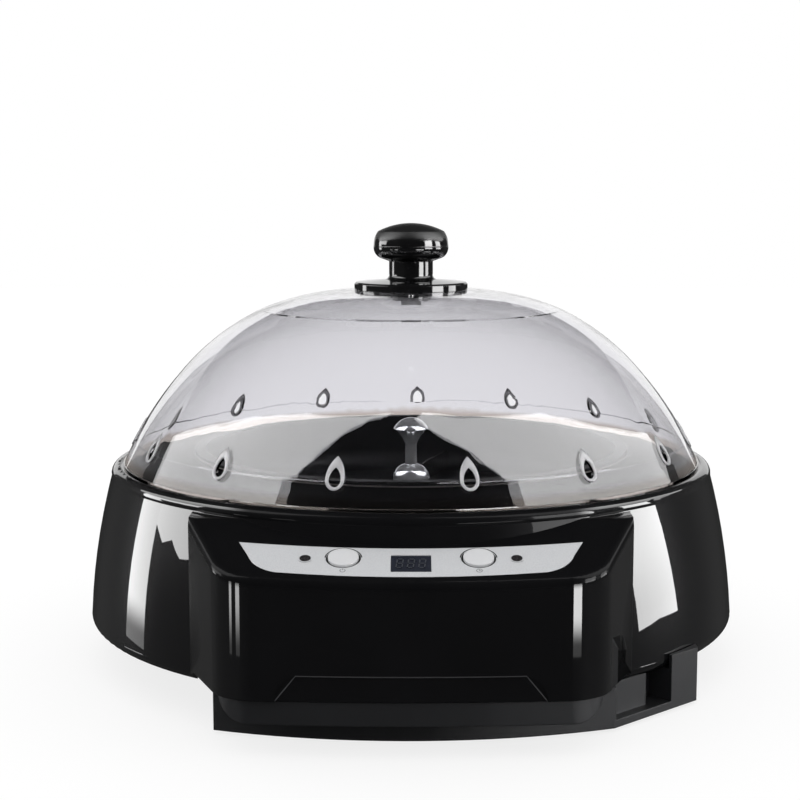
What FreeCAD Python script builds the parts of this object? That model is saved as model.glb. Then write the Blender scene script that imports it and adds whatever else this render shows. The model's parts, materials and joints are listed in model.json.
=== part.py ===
import FreeCAD, Part
import math
import os

import Sketcher
from FreeCAD import Placement, Rotation, Vector

# Home coffee bean roaster: a round black housing with a control block at the front, a roasting
# pan with a turning stirrer, a clear lift-off lid, and a gear motor underneath.
# Millimetres. +Z is up, the origin is on the standing surface under the stirrer shaft, and the
# control block faces -Y.

dimensions = {
    # Plinth and lower casing
    "foot_stand": 1.5,
    "plinth_depth": 18.0,
    "base_wall": 2.5,
    "flange_fit": 1.0,
    "base_opening_radius": 92.0,
    "plinth_screw_gap": 6.51,
    "plinth_front": 156.0,
    "plinth_front_left": 142.0,
    "wing_start": 86.9,
    "wing_start_front": 140.0,
    "wing_right": 128.5,
    "wing_front": 102.0,
    "wing_back": 70.0,
    "plinth_back": 118.0,
    "back_corner_right": 96.0,
    "back_corner_left": 70.0,
    "back_corner_side": 104.0,
    "skirt_front": 172.6,
    "skirt_corner_front": 169.3,
    "skirt_corner_x": 63.5,
    "skirt_corner_bow": 2.5,
    "skirt_side": 78.2,
    "skirt_side_front": 158.5,
    "skirt_back": 120.0,
    "skirt_bottom": 14.1,
    "skirt_top": 40.0,
    "skirt_end_round": 13.0,
    "skirt_step": 2.0,
    "skirt_gap": 0.3,
    "bay_depth": 5.0,
    "bay_start": 1.0,
    "bay_width": 25.5,
    "bay_sill": 3.5,
    "slot_width": 11.6,
    "slot_depth": 13.0,
    "wing_margin": 6.0,
    "wing_rim_height": 6.5,
    "wing_rim_gap": 0.5,
    # Top housing
    "body_radius": 160.0,
    "body_widest": 4.5,
    "body_edge_radius": 157.6,
    "body_bow": 1.808,
    "rim_outer_radius": 148.9,
    "rim_start": 71.5,
    "rim_crest_radius": 147.4,
    "rim_crest_height": 75.8,
    "housing_wall": 2.6,
    "seat_height": 75.7,
    "seat_radius": 144.4,
    "seat_width": 5.5,
    "rim_lip": 0.7,
    "rim_inside": 4.0,
    "deck_rise": 4.6,
    "collar_depth": 8.0,
    # Control block of the top housing
    "block_front": 176.0,
    "block_corner_front": 172.9,
    "block_corner_x": 65.24,
    "block_corner_bow": 2.6,
    "block_side_x": 81.8,
    "block_side_front": 160.8,
    "block_end_x": 95.0,
    "block_end_front": 130.0,
    "block_back": 112.0,
    "block_bottom": 24.3,
    "block_slope_front": 135.0,
    "block_slope_back": 124.0,
    "block_top_limit": 90.7,
    "block_edge_round": 4.0,
    "block_wall_margin": 14.0,
    "arch_half_width": 46.6,
    "arch_foot_half_width": 55.2,
    "arch_height": 10.7,
    "arch_bow": 1.2,
    "arch_depth": 0.8,
    # Control panel, measured on its slope
    "panel_tilt": 19.5,
    "panel_front": 172.5,
    "panel_height": 75.6,
    "shoulder_wall": 3.2,
    "fascia_thickness": 1.6,
    "fascia_gap": 0.15,
    "fascia_near_half": 54.8,
    "fascia_near_rise": 3.6,
    "fascia_corner_half": 61.8,
    "fascia_corner_rise": 7.6,
    "fascia_side_half": 66.6,
    "fascia_side_rise": 15.5,
    "fascia_tip_half": 71.3,
    "fascia_tip_rise": 26.2,
    "fascia_far_rise": 21.2,
    "button_spread": 27.6,
    "control_rise": 13.8,
    "button_radius": 6.3,
    "button_gap": 0.9,
    "button_proud": 0.8,
    "button_flange_radius": 8.6,
    "button_flange_thickness": 1.0,
    "button_clearance": 0.3,
    "button_travel": 0.6,
    "lamp_spread": 43.2,
    "lamp_radius": 2.3,
    "window_width": 16.5,
    "window_height": 12.5,
    "window_rise": 10.0,
    "window_thickness": 1.3,
    "display_width": 19.0,
    "display_height": 13.6,
    "board_drop": 9.4,
    "board_thickness": 1.6,
    "board_half_width": 52.0,
    "board_near": 2.0,
    "board_far": 20.5,
    "board_post_radius": 2.6,
    "board_post_spread": 48.5,
    "board_screw_grip": 5.5,
    "lens_proud": 0.2,
    "switch_side": 6.0,
    "switch_height": 3.4,
    "plunger_radius": 1.7,
    "stem_radius": 2.2,
    # Roasting pan
    "pan_depth": 29.0,
    "pan_wall": 1.4,
    "pan_inner_radius": 102.6,
    "pan_corner": 10.6,
    "pan_fit": 1.2,
    "pan_rim_width": 3.0,
    "gasket_thickness": 0.8,
    "gasket_width": 2.6,
    # Lid
    "lid_turn": 1.6,
    "lid_foot_gap": 0.3,
    "lid_foot_radius": 143.2,
    "lid_wall": 2.4,
    "lid_bead": 0.5,
    "lid_band": 1.4,
    "lid_skirt_radius": 137.4,
    "lid_skirt_rise": 11.8,
    "lid_skirt_lean": 29.0,
    "lid_lower_radius": 128.6,
    "lid_lower_rise": 26.4,
    "lid_lower_lean": 33.0,
    "lid_shoulder_radius": 115.0,
    "lid_shoulder_rise": 44.0,
    "lid_shoulder_lean": 43.0,
    "lid_upper_radius": 96.4,
    "lid_upper_rise": 61.8,
    "lid_upper_lean": 53.0,
    "lid_crown_edge_radius": 74.3,
    "lid_crown_edge_rise": 75.2,
    "lid_crown_edge_lean": 66.0,
    "lid_crown_radius": 50.0,
    "lid_crown_mid_rise": 82.4,
    "lid_crown_lean": 77.0,
    "lid_flat_radius": 29.5,
    "lid_rise": 84.6,
    "vent_count": 15,
    "vent_rise": 13.6,
    "vent_width": 6.6,
    "vent_length": 9.6,
    "crown_vent_count": 8,
    "crown_vent_radius": 34.0,
    "crown_vent_bore": 1.25,
    # Knob
    "knob_flange_radius": 28.2,
    "knob_flange_height": 3.9,
    "knob_flare_radius": 13.8,
    "knob_neck_radius": 10.9,
    "knob_neck_base": 7.6,
    "knob_neck_top": 14.2,
    "knob_under_radius": 14.2,
    "knob_under_rise": 15.4,
    "knob_radius": 18.6,
    "knob_widest": 21.6,
    "knob_shoulder_radius": 16.4,
    "knob_shoulder_rise": 29.0,
    "knob_height": 33.0,
    "insert_radius": 4.2,
    "insert_depth": 14.0,
    "screw_radius": 2.4,
    "screw_head_radius": 5.0,
    "screw_head_height": 3.2,
    "washer_radius": 9.5,
    "washer_thickness": 1.2,
    # Stirrer and its shaft
    "shaft_radius": 3.0,
    "running_gap": 0.05,
    "shaft_reach": 17.0,
    "drive_pin_radius": 1.0,
    "drive_pin_length": 12.0,
    "drive_pin_rise": 6.0,
    "hub_radius": 8.0,
    "hub_lift": 2.2,
    "hub_height": 8.8,
    "blade_thickness": 1.5,
    "blade_root_wall": 1.2,
    "blade_floor_gap": 1.0,
    "blade_wall_gap": 6.6,
    "short_blade_reach": 62.0,
    "blade_bend": 30.0,
    "blade_drop_start": 11.0,
    "blade_sweep": 18.0,
    "finial_base_radius": 9.5,
    "finial_base_height": 8.1,
    "finial_neck_radius": 3.2,
    "finial_waist_radius": 2.9,
    "finial_waist_rise": 18.4,
    "finial_head_radius": 8.6,
    "finial_head_rise": 26.0,
    "finial_height": 31.5,
    # Shaft bush in the pan and heater
    "pan_bush_radius": 6.0,
    "pan_bush_flange": 9.0,
    "pan_bush_proud": 1.2,
    "pan_bush_drop": 5.0,
    "element_radius": 70.0,
    "element_tube": 3.3,
    "element_gap": 4.6,
    "element_opening": 40.0,
    "element_bend": 8.0,
    "element_drop": 18.0,
    "clip_width": 9.0,
    "reflector_sheet": 0.8,
    "reflector_floor_height": 36.5,
    "reflector_room": 3.0,
    "reflector_corner": 5.0,
    "reflector_rim": 15.0,
    "reflector_flange_height": 62.5,
    "reflector_hole": 12.0,
    "terminal_hole": 4.2,
    "reflector_boss_place": 7.0,
    "sensor_radius": 8.0,
    "sensor_post_radius": 4.0,
    "sensor_height": 6.0,
    "sensor_place": 38.0,
    "fuse_radius": 2.0,
    "fuse_length": 14.0,
    # Gear motor
    "case_radius": 39.0,
    "case_wall": 1.5,
    "case_clearance": 3.0,
    "case_height": 20.5,
    "gear_room": 15.5,
    "cover_thickness": 2.0,
    "mid_plate_thickness": 1.5,
    "stator_outer": 36.0,
    "stator_inner": 17.0,
    "stator_height": 11.5,
    "magnet_radius": 15.5,
    "magnet_bore": 4.5,
    "magnet_height": 10.5,
    "magnet_lift": 2.0,
    "rotor_pin_radius": 1.25,
    "idler_pin_radius": 1.5,
    "gear_module": 0.8,
    "pinion_teeth": 10,
    "wheel_teeth": 40,
    "pressure_angle": 25.0,
    "backlash": 0.16,
    "tooth_addendum": 0.8,
    "tooth_dedendum": 1.05,
    "first_mesh_gap": 1.0,
    "first_face": 3.0,
    "mesh_step": 2.0,
    "idler_overlap": 0.5,
    "second_face": 5.0,
    "rotor_pinion_overlap": 0.8,
    "shaft_foot_gap": 0.8,
    "bush_radius": 5.5,
    "bush_flange": 8.0,
    "bush_flange_thickness": 1.6,
    "bush_height": 12.0,
    "strap_width": 26.0,
    "strap_sheet": 1.5,
    "strap_lap": 14.0,
    "strap_screw_lap": 7.0,
    "strap_clearance": 6.0,
    "motor_screw_place": 31.0,
    "motor_screw_grip": 5.5,
    # Fasteners and bosses
    "housing_boss_gap": 6.0,
    "housing_screw_angle": 45.0,
    "boss_radius": 4.5,
    "screw_core": 1.5,
    "screw_head": 3.2,
    "screw_head_thickness": 1.3,
    "screw_grip": 8.0,
    "plate_thickness": 2.0,
    "plate_gap": 0.3,
    "plate_recess": 0.5,
    "plate_boss_inset": 11.0,
    "plate_boss_right": 110.0,
    "plate_boss_front": 76.0,
    "plate_boss_back": 60.0,
    # Feet
    "foot_radius": 8.0,
    "foot_stud_radius": 2.4,
    "foot_barb_radius": 3.3,
    "foot_inset": 17.0,
    "foot_right": 102.0,
    "foot_front_left": 122.0,
    "foot_front_right": 86.0,
    "foot_back_left": 92.0,
    "foot_back_right": 78.0,
    # Power board and cord gland
    "power_board_half_width": 45.0,
    "power_board_near": 44.0,
    "power_board_far": 84.0,
    "power_board_lift": 5.0,
    "standoff_radius": 2.8,
    "transformer_place": 16.0,
    "transformer_width": 24.0,
    "transformer_depth": 21.0,
    "transformer_height": 19.0,
    "relay_place": 12.0,
    "relay_width": 12.0,
    "relay_depth": 16.0,
    "relay_height": 15.0,
    "capacitor_place": 30.0,
    "capacitor_radius": 5.0,
    "capacitor_height": 12.5,
    "gland_place": 45.0,
    "gland_height": 11.0,
    "gland_radius": 5.0,
    "gland_bore": 3.6,
    "gland_flange": 7.0,
    "gland_flange_thickness": 2.5,
    "gland_inside": 4.0,
    # Base vents
    "base_vent_count": 7,
    "base_vent_pitch": 9.0,
    "base_vent_width": 3.0,
    "base_vent_length": 52.0,
    "base_vent_front": 72.0,
}


class Size:
    # A length, angle or count with the formula that ties it to the spreadsheet.
    def __init__(self, value, formula):
        self.value = float(value)
        self.formula = formula

    def __float__(self):
        return self.value

    def __add__(self, other):
        other = as_size(other)
        return Size(self.value + other.value, f"({self.formula} + {other.formula})")

    def __sub__(self, other):
        other = as_size(other)
        return Size(self.value - other.value, f"({self.formula} - {other.formula})")

    def __mul__(self, other):
        other = as_size(other)
        return Size(self.value * other.value, f"({self.formula} * {other.formula})")

    def __truediv__(self, other):
        other = as_size(other)
        return Size(self.value / other.value, f"({self.formula} / {other.formula})")

    def __radd__(self, other):
        return as_size(other) + self

    def __rsub__(self, other):
        return as_size(other) - self

    def __rmul__(self, other):
        return as_size(other) * self

    def __rtruediv__(self, other):
        return as_size(other) / self

    def __neg__(self):
        return Size(-self.value, f"(0 - {self.formula})")


def as_size(value):
    if isinstance(value, Size):
        return value
    return Size(value, f"({float(value)})")


def sine(angle):
    return Size(math.sin(math.radians(angle.value)), f"sin({angle.formula})")


def cosine(angle):
    return Size(math.cos(math.radians(angle.value)), f"cos({angle.formula})")


def square_root(size):
    return Size(math.sqrt(size.value), f"sqrt({size.formula})")


doc = FreeCAD.newDocument("coffee_roaster")
sheet = doc.addObject("Spreadsheet::Sheet", "Dimensions")


class Dimensions:
    pass


dim = Dimensions()
for row, (alias, value) in enumerate(dimensions.items(), start=1):
    sheet.set(f"A{row}", alias)
    sheet.set(f"B{row}", str(value))
    sheet.setAlias(f"B{row}", alias)
    setattr(dim, alias, Size(value, f"Dimensions.{alias}"))
doc.recompute()

nodes = []


# ---- Shared ways of making a sub-part ----


def add_node(shape_object, name):
    shape_object.Label = name
    nodes.append(shape_object)
    return shape_object


def new_body(name):
    return doc.addObject("PartDesign::Body", name)


def new_sketch(body, plane, name, offset=None):
    # A sketch on one of the body's origin planes, moved along the plane's normal by offset.
    sketch = body.newObject("Sketcher::SketchObject", f"{body.Name}_{name}")
    for feature in body.Origin.OriginFeatures:
        if feature.Role == plane:
            sketch.AttachmentSupport = [(feature, "")]
    sketch.MapMode = "FlatFace"
    if offset is not None:
        sketch.setExpression("AttachmentOffset.Base.z", as_size(offset).formula)
    return sketch


def bind(sketch, constraint, value):
    index = sketch.addConstraint(constraint)
    sketch.setExpression(f"Constraints[{index}]", as_size(value).formula)


def pin_point(sketch, geometry, end, point):
    # Holds a point of the geometry at a place measured from the sketch's origin.
    x, y = point
    bind(sketch, Sketcher.Constraint("DistanceX", -1, 1, geometry, end, float(x)), x)
    bind(sketch, Sketcher.Constraint("DistanceY", -1, 1, geometry, end, float(y)), y)


def vector(point):
    return Vector(float(point[0]), float(point[1]), 0.0)


def draw_edge(sketch, start, step):
    # A straight run or an arc, and which of its ends comes first along the outline.
    if len(step) == 2:
        return sketch.addGeometry(Part.LineSegment(vector(start), vector(step)), False), 1, 2
    arc = Part.Arc(vector(start), vector(step[2:]), vector(step[:2]))
    edge = sketch.addGeometry(arc, False)
    to_first = sketch.getPoint(edge, 1).distanceToPoint(vector(start))
    to_second = sketch.getPoint(edge, 2).distanceToPoint(vector(start))
    return (edge, 1, 2) if to_first < to_second else (edge, 2, 1)


def draw_outline(sketch, path):
    # A closed outline. Each step is (x, y) for a straight run to that point, or
    # (x, y, via_x, via_y) for an arc to it that passes through the via point.
    edges = [draw_edge(sketch, path[index - 1][:2], step) for index, step in enumerate(path)]
    for index, step in enumerate(path):
        edge, _, finish = edges[index]
        following, begin, _ = edges[(index + 1) % len(path)]
        sketch.addConstraint(Sketcher.Constraint("Coincident", edge, finish, following, begin))
        pin_point(sketch, edge, finish, step[:2])
        if len(step) == 4:
            via = sketch.addGeometry(Part.Point(vector(step[2:])), True)
            pin_point(sketch, via, 1, step[2:])
            sketch.addConstraint(Sketcher.Constraint("PointOnObject", via, 1, edge))


def draw_circle(sketch, x, y, radius):
    circle = Part.Circle(vector((x, y)), Vector(0, 0, 1), float(radius))
    edge = sketch.addGeometry(circle, False)
    pin_point(sketch, edge, 3, (x, y))
    bind(sketch, Sketcher.Constraint("Radius", edge, float(radius)), radius)


def draw_shapes(sketch, shapes):
    # Each shape is an outline, or ("circle", x, y, radius).
    for shape in shapes:
        if shape[0] == "circle":
            draw_circle(sketch, *shape[1:])
        else:
            draw_outline(sketch, shape)


def add_pad(body, plane, shapes, start, length):
    # Material from start to start + length along the plane's normal.
    count = len(body.Group)
    sketch = new_sketch(body, plane, f"outline{count}", start)
    draw_shapes(sketch, shapes)
    pad = body.newObject("PartDesign::Pad", f"{body.Name}_pad{count}")
    pad.Profile = sketch
    pad.setExpression("Length", as_size(length).formula)
    return pad


cuts = []


def add_pocket(body, plane, shapes, start, length):
    # A cut from start to start + length along the plane's normal.
    count = len(body.Group)
    sketch = new_sketch(body, plane, f"cut{count}", start)
    draw_shapes(sketch, shapes)
    pocket = body.newObject("PartDesign::Pocket", f"{body.Name}_pocket{count}")
    pocket.Profile = sketch
    pocket.Reversed = True
    pocket.setExpression("Length", as_size(length).formula)
    cuts.append(pocket)
    return pocket


def add_polar(body, feature, count):
    # Copies of a cut turned evenly about the body's upright axis.
    pattern = body.newObject("PartDesign::PolarPattern", f"{feature.Name}_round")
    pattern.Originals = [feature]
    for axis in body.Origin.OriginFeatures:
        if axis.Role == "Z_Axis":
            pattern.Axis = (axis, [""])
    pattern.Angle = 360.0
    pattern.setExpression("Occurrences", as_size(count).formula)
    body.Tip = pattern
    return pattern


def turned(name, path):
    # A solid of revolution about Z from an outline of (radius, height) steps.
    body = new_body(name)
    sketch = new_sketch(body, "XZ_Plane", "section")
    draw_outline(sketch, path)
    turn = body.newObject("PartDesign::Revolution", f"{name}_turn")
    turn.Profile = sketch
    turn.ReferenceAxis = (sketch, ["V_Axis"])
    turn.Angle = 360.0
    return body


def prism(name, plane, shapes, start, length):
    body = new_body(name)
    add_pad(body, plane, shapes, start, length)
    return body


def joined(name, kind, shapes):
    # A boolean of several solids: kind is MultiFuse or MultiCommon.
    result = doc.addObject(f"Part::{kind}", name)
    result.Shapes = shapes
    return result


def carved(name, base, tool):
    result = doc.addObject("Part::Cut", name)
    result.Base = base
    result.Tool = tool
    return result


def box_outline(x_low, x_high, y_low, y_high):
    return [(x_high, y_low), (x_high, y_high), (x_low, y_high), (x_low, y_low)]


def circles(places, radius):
    return [("circle", x, y, radius) for x, y in places]


def ring(outer, inner):
    return [("circle", as_size(0), as_size(0), outer), ("circle", as_size(0), as_size(0), inner)]


def disc(radius):
    return [("circle", as_size(0), as_size(0), radius)]


def cap_to_axis(start, top):
    # The last step of a turned outline: a spherical cap from (radius, height) up to the axis.
    radius, height = start
    rise = top - height
    sphere = (radius * radius + rise * rise) / (rise * 2)
    half = radius / 2
    return as_size(0), top, half, top - sphere + square_root(sphere * sphere - half * half)


def place(body, x, y, z, turn_axis=None, angle=0):
    # Puts a finished sub-part in its place, turned about one of its own axes first.
    angle = as_size(angle)
    rotation = Rotation(turn_axis or Vector(0, 0, 1), angle.value)
    body.Placement = Placement(Vector(float(x), float(y), float(z)), rotation)
    for axis, value in zip("xyz", (x, y, z)):
        body.setExpression(f"Placement.Base.{axis}", as_size(value).formula)
    return body


def place_on_panel(body):
    return place(body, 0, -dim.panel_front, dim.panel_height, Vector(1, 0, 0), dim.panel_tilt)


def screws(name, places, seat, direction, core, head, head_thickness, grip):
    # Pan-head screws with their heads on the seat plane; direction is the shank's way, 1 up.
    body = new_body(name)
    if direction > 0:
        add_pad(body, "XY_Plane", circles(places, head), seat - head_thickness, head_thickness)
        add_pad(body, "XY_Plane", circles(places, core), seat, grip)
    else:
        add_pad(body, "XY_Plane", circles(places, head), seat, head_thickness)
        add_pad(body, "XY_Plane", circles(places, core), seat - grip, grip)
    return add_node(body, name)


# ---- Heights that the sub-parts share ----

plinth_bottom = dim.foot_stand
flange_bottom = plinth_bottom + dim.plinth_depth
flange_top = flange_bottom + dim.base_wall
seat = flange_bottom + dim.seat_height
deck_top = seat + dim.deck_rise
deck_outer_radius = dim.seat_radius - dim.seat_width
pan_rim_bottom = deck_top + dim.gasket_thickness
pan_rim_top = pan_rim_bottom + dim.pan_wall
pan_floor = pan_rim_top - dim.pan_depth
pan_underside = pan_floor - dim.pan_wall
lid_foot = seat + dim.lid_foot_gap
crown = lid_foot + dim.lid_rise
plate_bottom = plinth_bottom + dim.plate_recess
plate_top = plate_bottom + dim.plate_thickness
tilt_sine = sine(dim.panel_tilt)
tilt_cosine = cosine(dim.panel_tilt)

# Radii that follow the pan: the deck it hangs in, the reflector round it and their screws.
pan_outer = dim.pan_inner_radius + dim.pan_wall
deck_inner_radius = pan_outer + dim.pan_fit
pan_rim_radius = deck_inner_radius + dim.pan_rim_width
reflector_radius = pan_outer + dim.reflector_room
reflector_floor_radius = reflector_radius - dim.reflector_corner
reflector_flange = reflector_radius + dim.reflector_rim
reflector_boss_circle = reflector_radius + dim.reflector_boss_place
housing_screw_circle = reflector_flange + dim.housing_boss_gap
strap_reach = dim.base_opening_radius + dim.strap_lap
strap_screw_place = dim.base_opening_radius + dim.strap_screw_lap

housing_screw_x = housing_screw_circle * cosine(dim.housing_screw_angle)
housing_screw_y = housing_screw_circle * sine(dim.housing_screw_angle)
plinth_left = housing_screw_x - dim.plinth_screw_gap
foot_left = plinth_left - dim.foot_inset
plate_boss_left = plinth_left - dim.plate_boss_inset
housing_screw_places = [
    (housing_screw_x, housing_screw_y),
    (-housing_screw_x, housing_screw_y),
    (-housing_screw_x, -housing_screw_y),
    (housing_screw_x, -housing_screw_y),
]
plate_screw_places = [
    (-plate_boss_left, -dim.plate_boss_front),
    (dim.plate_boss_right, -dim.plate_boss_front),
    (dim.plate_boss_right, dim.plate_boss_back),
    (-plate_boss_left, dim.plate_boss_back),
]
reflector_screw_places = [
    (
        reflector_boss_circle * cosine(as_size(angle)),
        reflector_boss_circle * sine(as_size(angle)),
    )
    for angle in (30, 150, 270)
]


# ---- Top housing ----


def bowed(start, end, bow):
    # The middle of an arc that stands off the line from start to end by bow, on its left.
    across = end[0] - start[0]
    along = end[1] - start[1]
    length = square_root(across * across + along * along)
    return (
        (start[0] + end[0]) / 2 - along * bow / length,
        (start[1] + end[1]) / 2 + across * bow / length,
    )


def mirrored(path_right):
    # An outline symmetric about x = 0 from its right half, which runs from back to front.
    left = []
    for index in range(len(path_right) - 1, 0, -1):
        step = path_right[index]
        end = path_right[index - 1]
        if len(step) == 4:
            left.append((-end[0], end[1], -step[2], step[3]))
        else:
            left.append((-end[0], end[1]))
    return left


def block_outline(inset):
    # Plan of the control block: round front corners, and sides that spread into the round body.
    end = (dim.block_end_x, -dim.block_end_front)
    side = (dim.block_side_x, -dim.block_side_front)
    corner = (dim.block_corner_x, -dim.block_corner_front)
    round_x, round_y = bowed(side, corner, dim.block_corner_bow)
    right = [
        (end[0] - inset, -dim.block_back),
        (end[0] - inset, end[1]),
        (side[0] - inset, side[1]),
        (corner[0] - inset, corner[1] + inset, round_x - inset, round_y + inset),
    ]
    front = [(inset - corner[0], corner[1] + inset, as_size(0), inset - dim.block_front)]
    return right + front + mirrored(right)


def shoulder_height(front, drop):
    # Height of the sloping shoulder at a distance in front of the shaft, drop below its surface.
    slope = tilt_sine / tilt_cosine
    return dim.panel_height + (dim.panel_front - front) * slope - drop / tilt_cosine


def block_profile(top_drop, bottom, back):
    # Side view of the control block: sloping shoulder on top, and a lower edge that rises to the
    # front in an S.
    far_front = dim.block_front + dim.block_wall_margin
    top_limit = dim.block_top_limit - top_drop
    slope = tilt_sine / tilt_cosine
    meet = dim.panel_front - (top_limit - dim.panel_height + top_drop / tilt_cosine) / slope
    top = [
        (-back, top_limit),
        (-meet, top_limit),
        (-far_front, shoulder_height(far_front, top_drop)),
    ]
    if bottom is not None:
        return top + [(-far_front, bottom), (-back, bottom)]
    middle_y = (dim.block_slope_front + dim.block_slope_back) / 2
    middle_z = (dim.block_bottom + flange_bottom) / 2
    quarter = (dim.block_slope_front - dim.block_slope_back) / 4
    bow = (dim.block_bottom - flange_bottom) * 0.1
    return top + [
        (-far_front, dim.block_bottom),
        (-dim.block_slope_front, dim.block_bottom),
        (-middle_y, middle_z, quarter - dim.block_slope_front, dim.block_bottom - 2 * bow),
        (-dim.block_slope_back, flange_bottom, -quarter - dim.block_slope_back, flange_bottom + 2 * bow),
        (-back, flange_bottom),
    ]


def inner_wall(step):
    return (step[0] - dim.housing_wall,) + step[1:]


body_bottom = (dim.body_edge_radius, flange_bottom)
body_widest = (dim.body_radius, flange_bottom + dim.body_widest)
rim_start = (dim.rim_outer_radius, flange_bottom + dim.rim_start)
body_middle = bowed(rim_start, body_widest, dim.body_bow)
rim_crest = (dim.rim_crest_radius, flange_bottom + dim.rim_crest_height)
edge_arc_radius = (dim.body_radius + dim.body_edge_radius) / 2 + dim.rim_lip / 2
edge_arc_height = flange_bottom + dim.body_widest / 4

round_shell = turned(
    "round_shell",
    [
        body_bottom,
        body_widest + (edge_arc_radius, edge_arc_height),
        rim_start + body_middle,
        (dim.seat_radius, seat + dim.rim_lip) + rim_crest,
        (dim.seat_radius, seat),
        (deck_outer_radius, seat),
        (deck_outer_radius, seat + dim.rim_lip),
        (deck_inner_radius, deck_top),
        (deck_inner_radius, deck_top - dim.collar_depth),
        (deck_inner_radius + dim.housing_wall, deck_top - dim.collar_depth),
        (deck_inner_radius + dim.housing_wall, deck_top - dim.housing_wall),
        (deck_outer_radius, seat - dim.housing_wall),
        (dim.rim_outer_radius - dim.rim_inside, seat - dim.housing_wall),
        inner_wall(rim_start),
        inner_wall(body_widest) + inner_wall(body_middle),
        inner_wall(body_bottom),
    ],
)
round_core = turned(
    "round_core",
    [
        (as_size(0), plinth_bottom),
        inner_wall(body_bottom)[:1] + (plinth_bottom,),
        inner_wall(body_bottom),
        inner_wall(body_widest),
        inner_wall(rim_start) + inner_wall(body_middle),
        inner_wall(rim_start)[:1] + (deck_top,),
        (as_size(0), deck_top),
    ],
)
block_plan = prism("block_plan", "XY_Plane", [block_outline(as_size(0))], plinth_bottom, deck_top)
block_side = prism(
    "block_side",
    "YZ_Plane",
    [block_profile(as_size(0), None, dim.block_back)],
    -dim.body_radius,
    2 * dim.body_radius,
)
block = joined("block", "MultiCommon", [block_plan, block_side])
doc.recompute()


def is_shoulder_edge(edge):
    # The edges where the sloping shoulder meets the front, the corners and the sides.
    middle = edge.valueAt((edge.FirstParameter + edge.LastParameter) / 2)
    height = float(shoulder_height(as_size(-middle.y), as_size(0)))
    return abs(middle.z - height) < 0.05 and middle.z < float(dim.block_top_limit) - 0.05


rounded_block = doc.addObject("Part::Fillet", "rounded_block")
rounded_block.Base = block
rounded_block.Edges = [
    (number, float(dim.block_edge_round), float(dim.block_edge_round))
    for number, edge in enumerate(block.Shape.Edges, start=1)
    if is_shoulder_edge(edge)
]
block_front = carved("block_front", rounded_block, round_core)

cavity_plan = prism(
    "cavity_plan", "XY_Plane", [block_outline(dim.housing_wall)], as_size(0), deck_top
)
cavity_side = prism(
    "cavity_side",
    "YZ_Plane",
    [block_profile(dim.shoulder_wall, as_size(0), dim.block_back)],
    -dim.body_radius,
    2 * dim.body_radius,
)
block_cavity = joined("block_cavity", "MultiCommon", [cavity_plan, cavity_side])

arch_top = dim.block_bottom + dim.arch_height
arch_middle = (dim.arch_half_width + dim.arch_foot_half_width) / 2
arch_cutter = prism(
    "arch_cutter",
    "XZ_Plane",
    [
        [
            (dim.arch_foot_half_width, flange_bottom),
            (dim.arch_foot_half_width, dim.block_bottom),
            (
                dim.arch_half_width,
                arch_top,
                arch_middle - dim.arch_bow,
                arch_top - dim.arch_bow,
            ),
            (-dim.arch_half_width, arch_top),
            (
                -dim.arch_foot_half_width,
                dim.block_bottom,
                dim.arch_bow - arch_middle,
                arch_top - dim.arch_bow,
            ),
            (-dim.arch_foot_half_width, flange_bottom),
        ]
    ],
    dim.skirt_front - dim.base_wall,
    dim.base_wall * 4,
)
arch_floor = prism(
    "arch_floor", "XY_Plane", [block_outline(dim.arch_depth)], as_size(0), deck_top
)
arch_recess = carved("arch_recess", arch_cutter, arch_floor)


def fascia_outline(grow):
    # The boat-shaped fascia in panel coordinates: x across, y up the slope.
    right = [
        (dim.fascia_tip_half + grow, dim.fascia_tip_rise + grow),
        (dim.fascia_side_half + grow, dim.fascia_side_rise),
        (
            dim.fascia_near_half,
            dim.fascia_near_rise - grow,
            dim.fascia_corner_half + grow,
            dim.fascia_corner_rise - grow,
        ),
    ]
    near_x, near_y = right[-1][:2]
    near = [(-near_x, near_y, as_size(0), -grow)]
    far_y = dim.fascia_far_rise + grow
    far = [right[0] + (as_size(0), far_y)]
    return far + right[1:] + near + mirrored(right)


def window_outline(width, height):
    return box_outline(
        -width / 2, width / 2, dim.window_rise - height / 2, dim.window_rise + height / 2
    )


button_places = [(-dim.button_spread, dim.control_rise), (dim.button_spread, dim.control_rise)]
lamp_places = [(-dim.lamp_spread, dim.control_rise), (dim.lamp_spread, dim.control_rise)]
button_bore = dim.button_radius + dim.button_gap
board_top = -dim.board_drop
board_bottom = board_top - dim.board_thickness
board_middle = (dim.board_near + dim.board_far) / 2
post_places = [(-dim.board_post_spread, board_middle), (dim.board_post_spread, board_middle)]

fascia_recess = prism(
    "fascia_recess",
    "XY_Plane",
    [fascia_outline(dim.fascia_gap)],
    -dim.fascia_thickness,
    dim.fascia_thickness * 4,
)
place_on_panel(fascia_recess)
panel_holes = prism(
    "panel_holes",
    "XY_Plane",
    circles(button_places, button_bore)
    + circles(lamp_places, dim.lamp_radius)
    + [window_outline(dim.display_width + 2 * dim.fascia_gap, dim.display_height + 2 * dim.fascia_gap)],
    -dim.shoulder_wall * 2,
    dim.shoulder_wall * 2,
)
place_on_panel(panel_holes)
panel_posts = prism(
    "panel_posts",
    "XY_Plane",
    circles(post_places, dim.board_post_radius),
    board_top,
    dim.board_drop - dim.fascia_thickness * 1.5,
)
place_on_panel(panel_posts)
post_bores = prism(
    "post_bores",
    "XY_Plane",
    circles(post_places, dim.screw_core),
    board_top,
    dim.board_drop - dim.shoulder_wall,
)
place_on_panel(post_bores)


def under_deck(radius):
    # Height inside the sloping deck at a radius, where a boss ends in its wall.
    fall = (deck_top - seat - dim.rim_lip) / (deck_outer_radius - deck_inner_radius)
    return deck_top - (radius - deck_inner_radius) * fall - dim.housing_wall / 2


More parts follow.
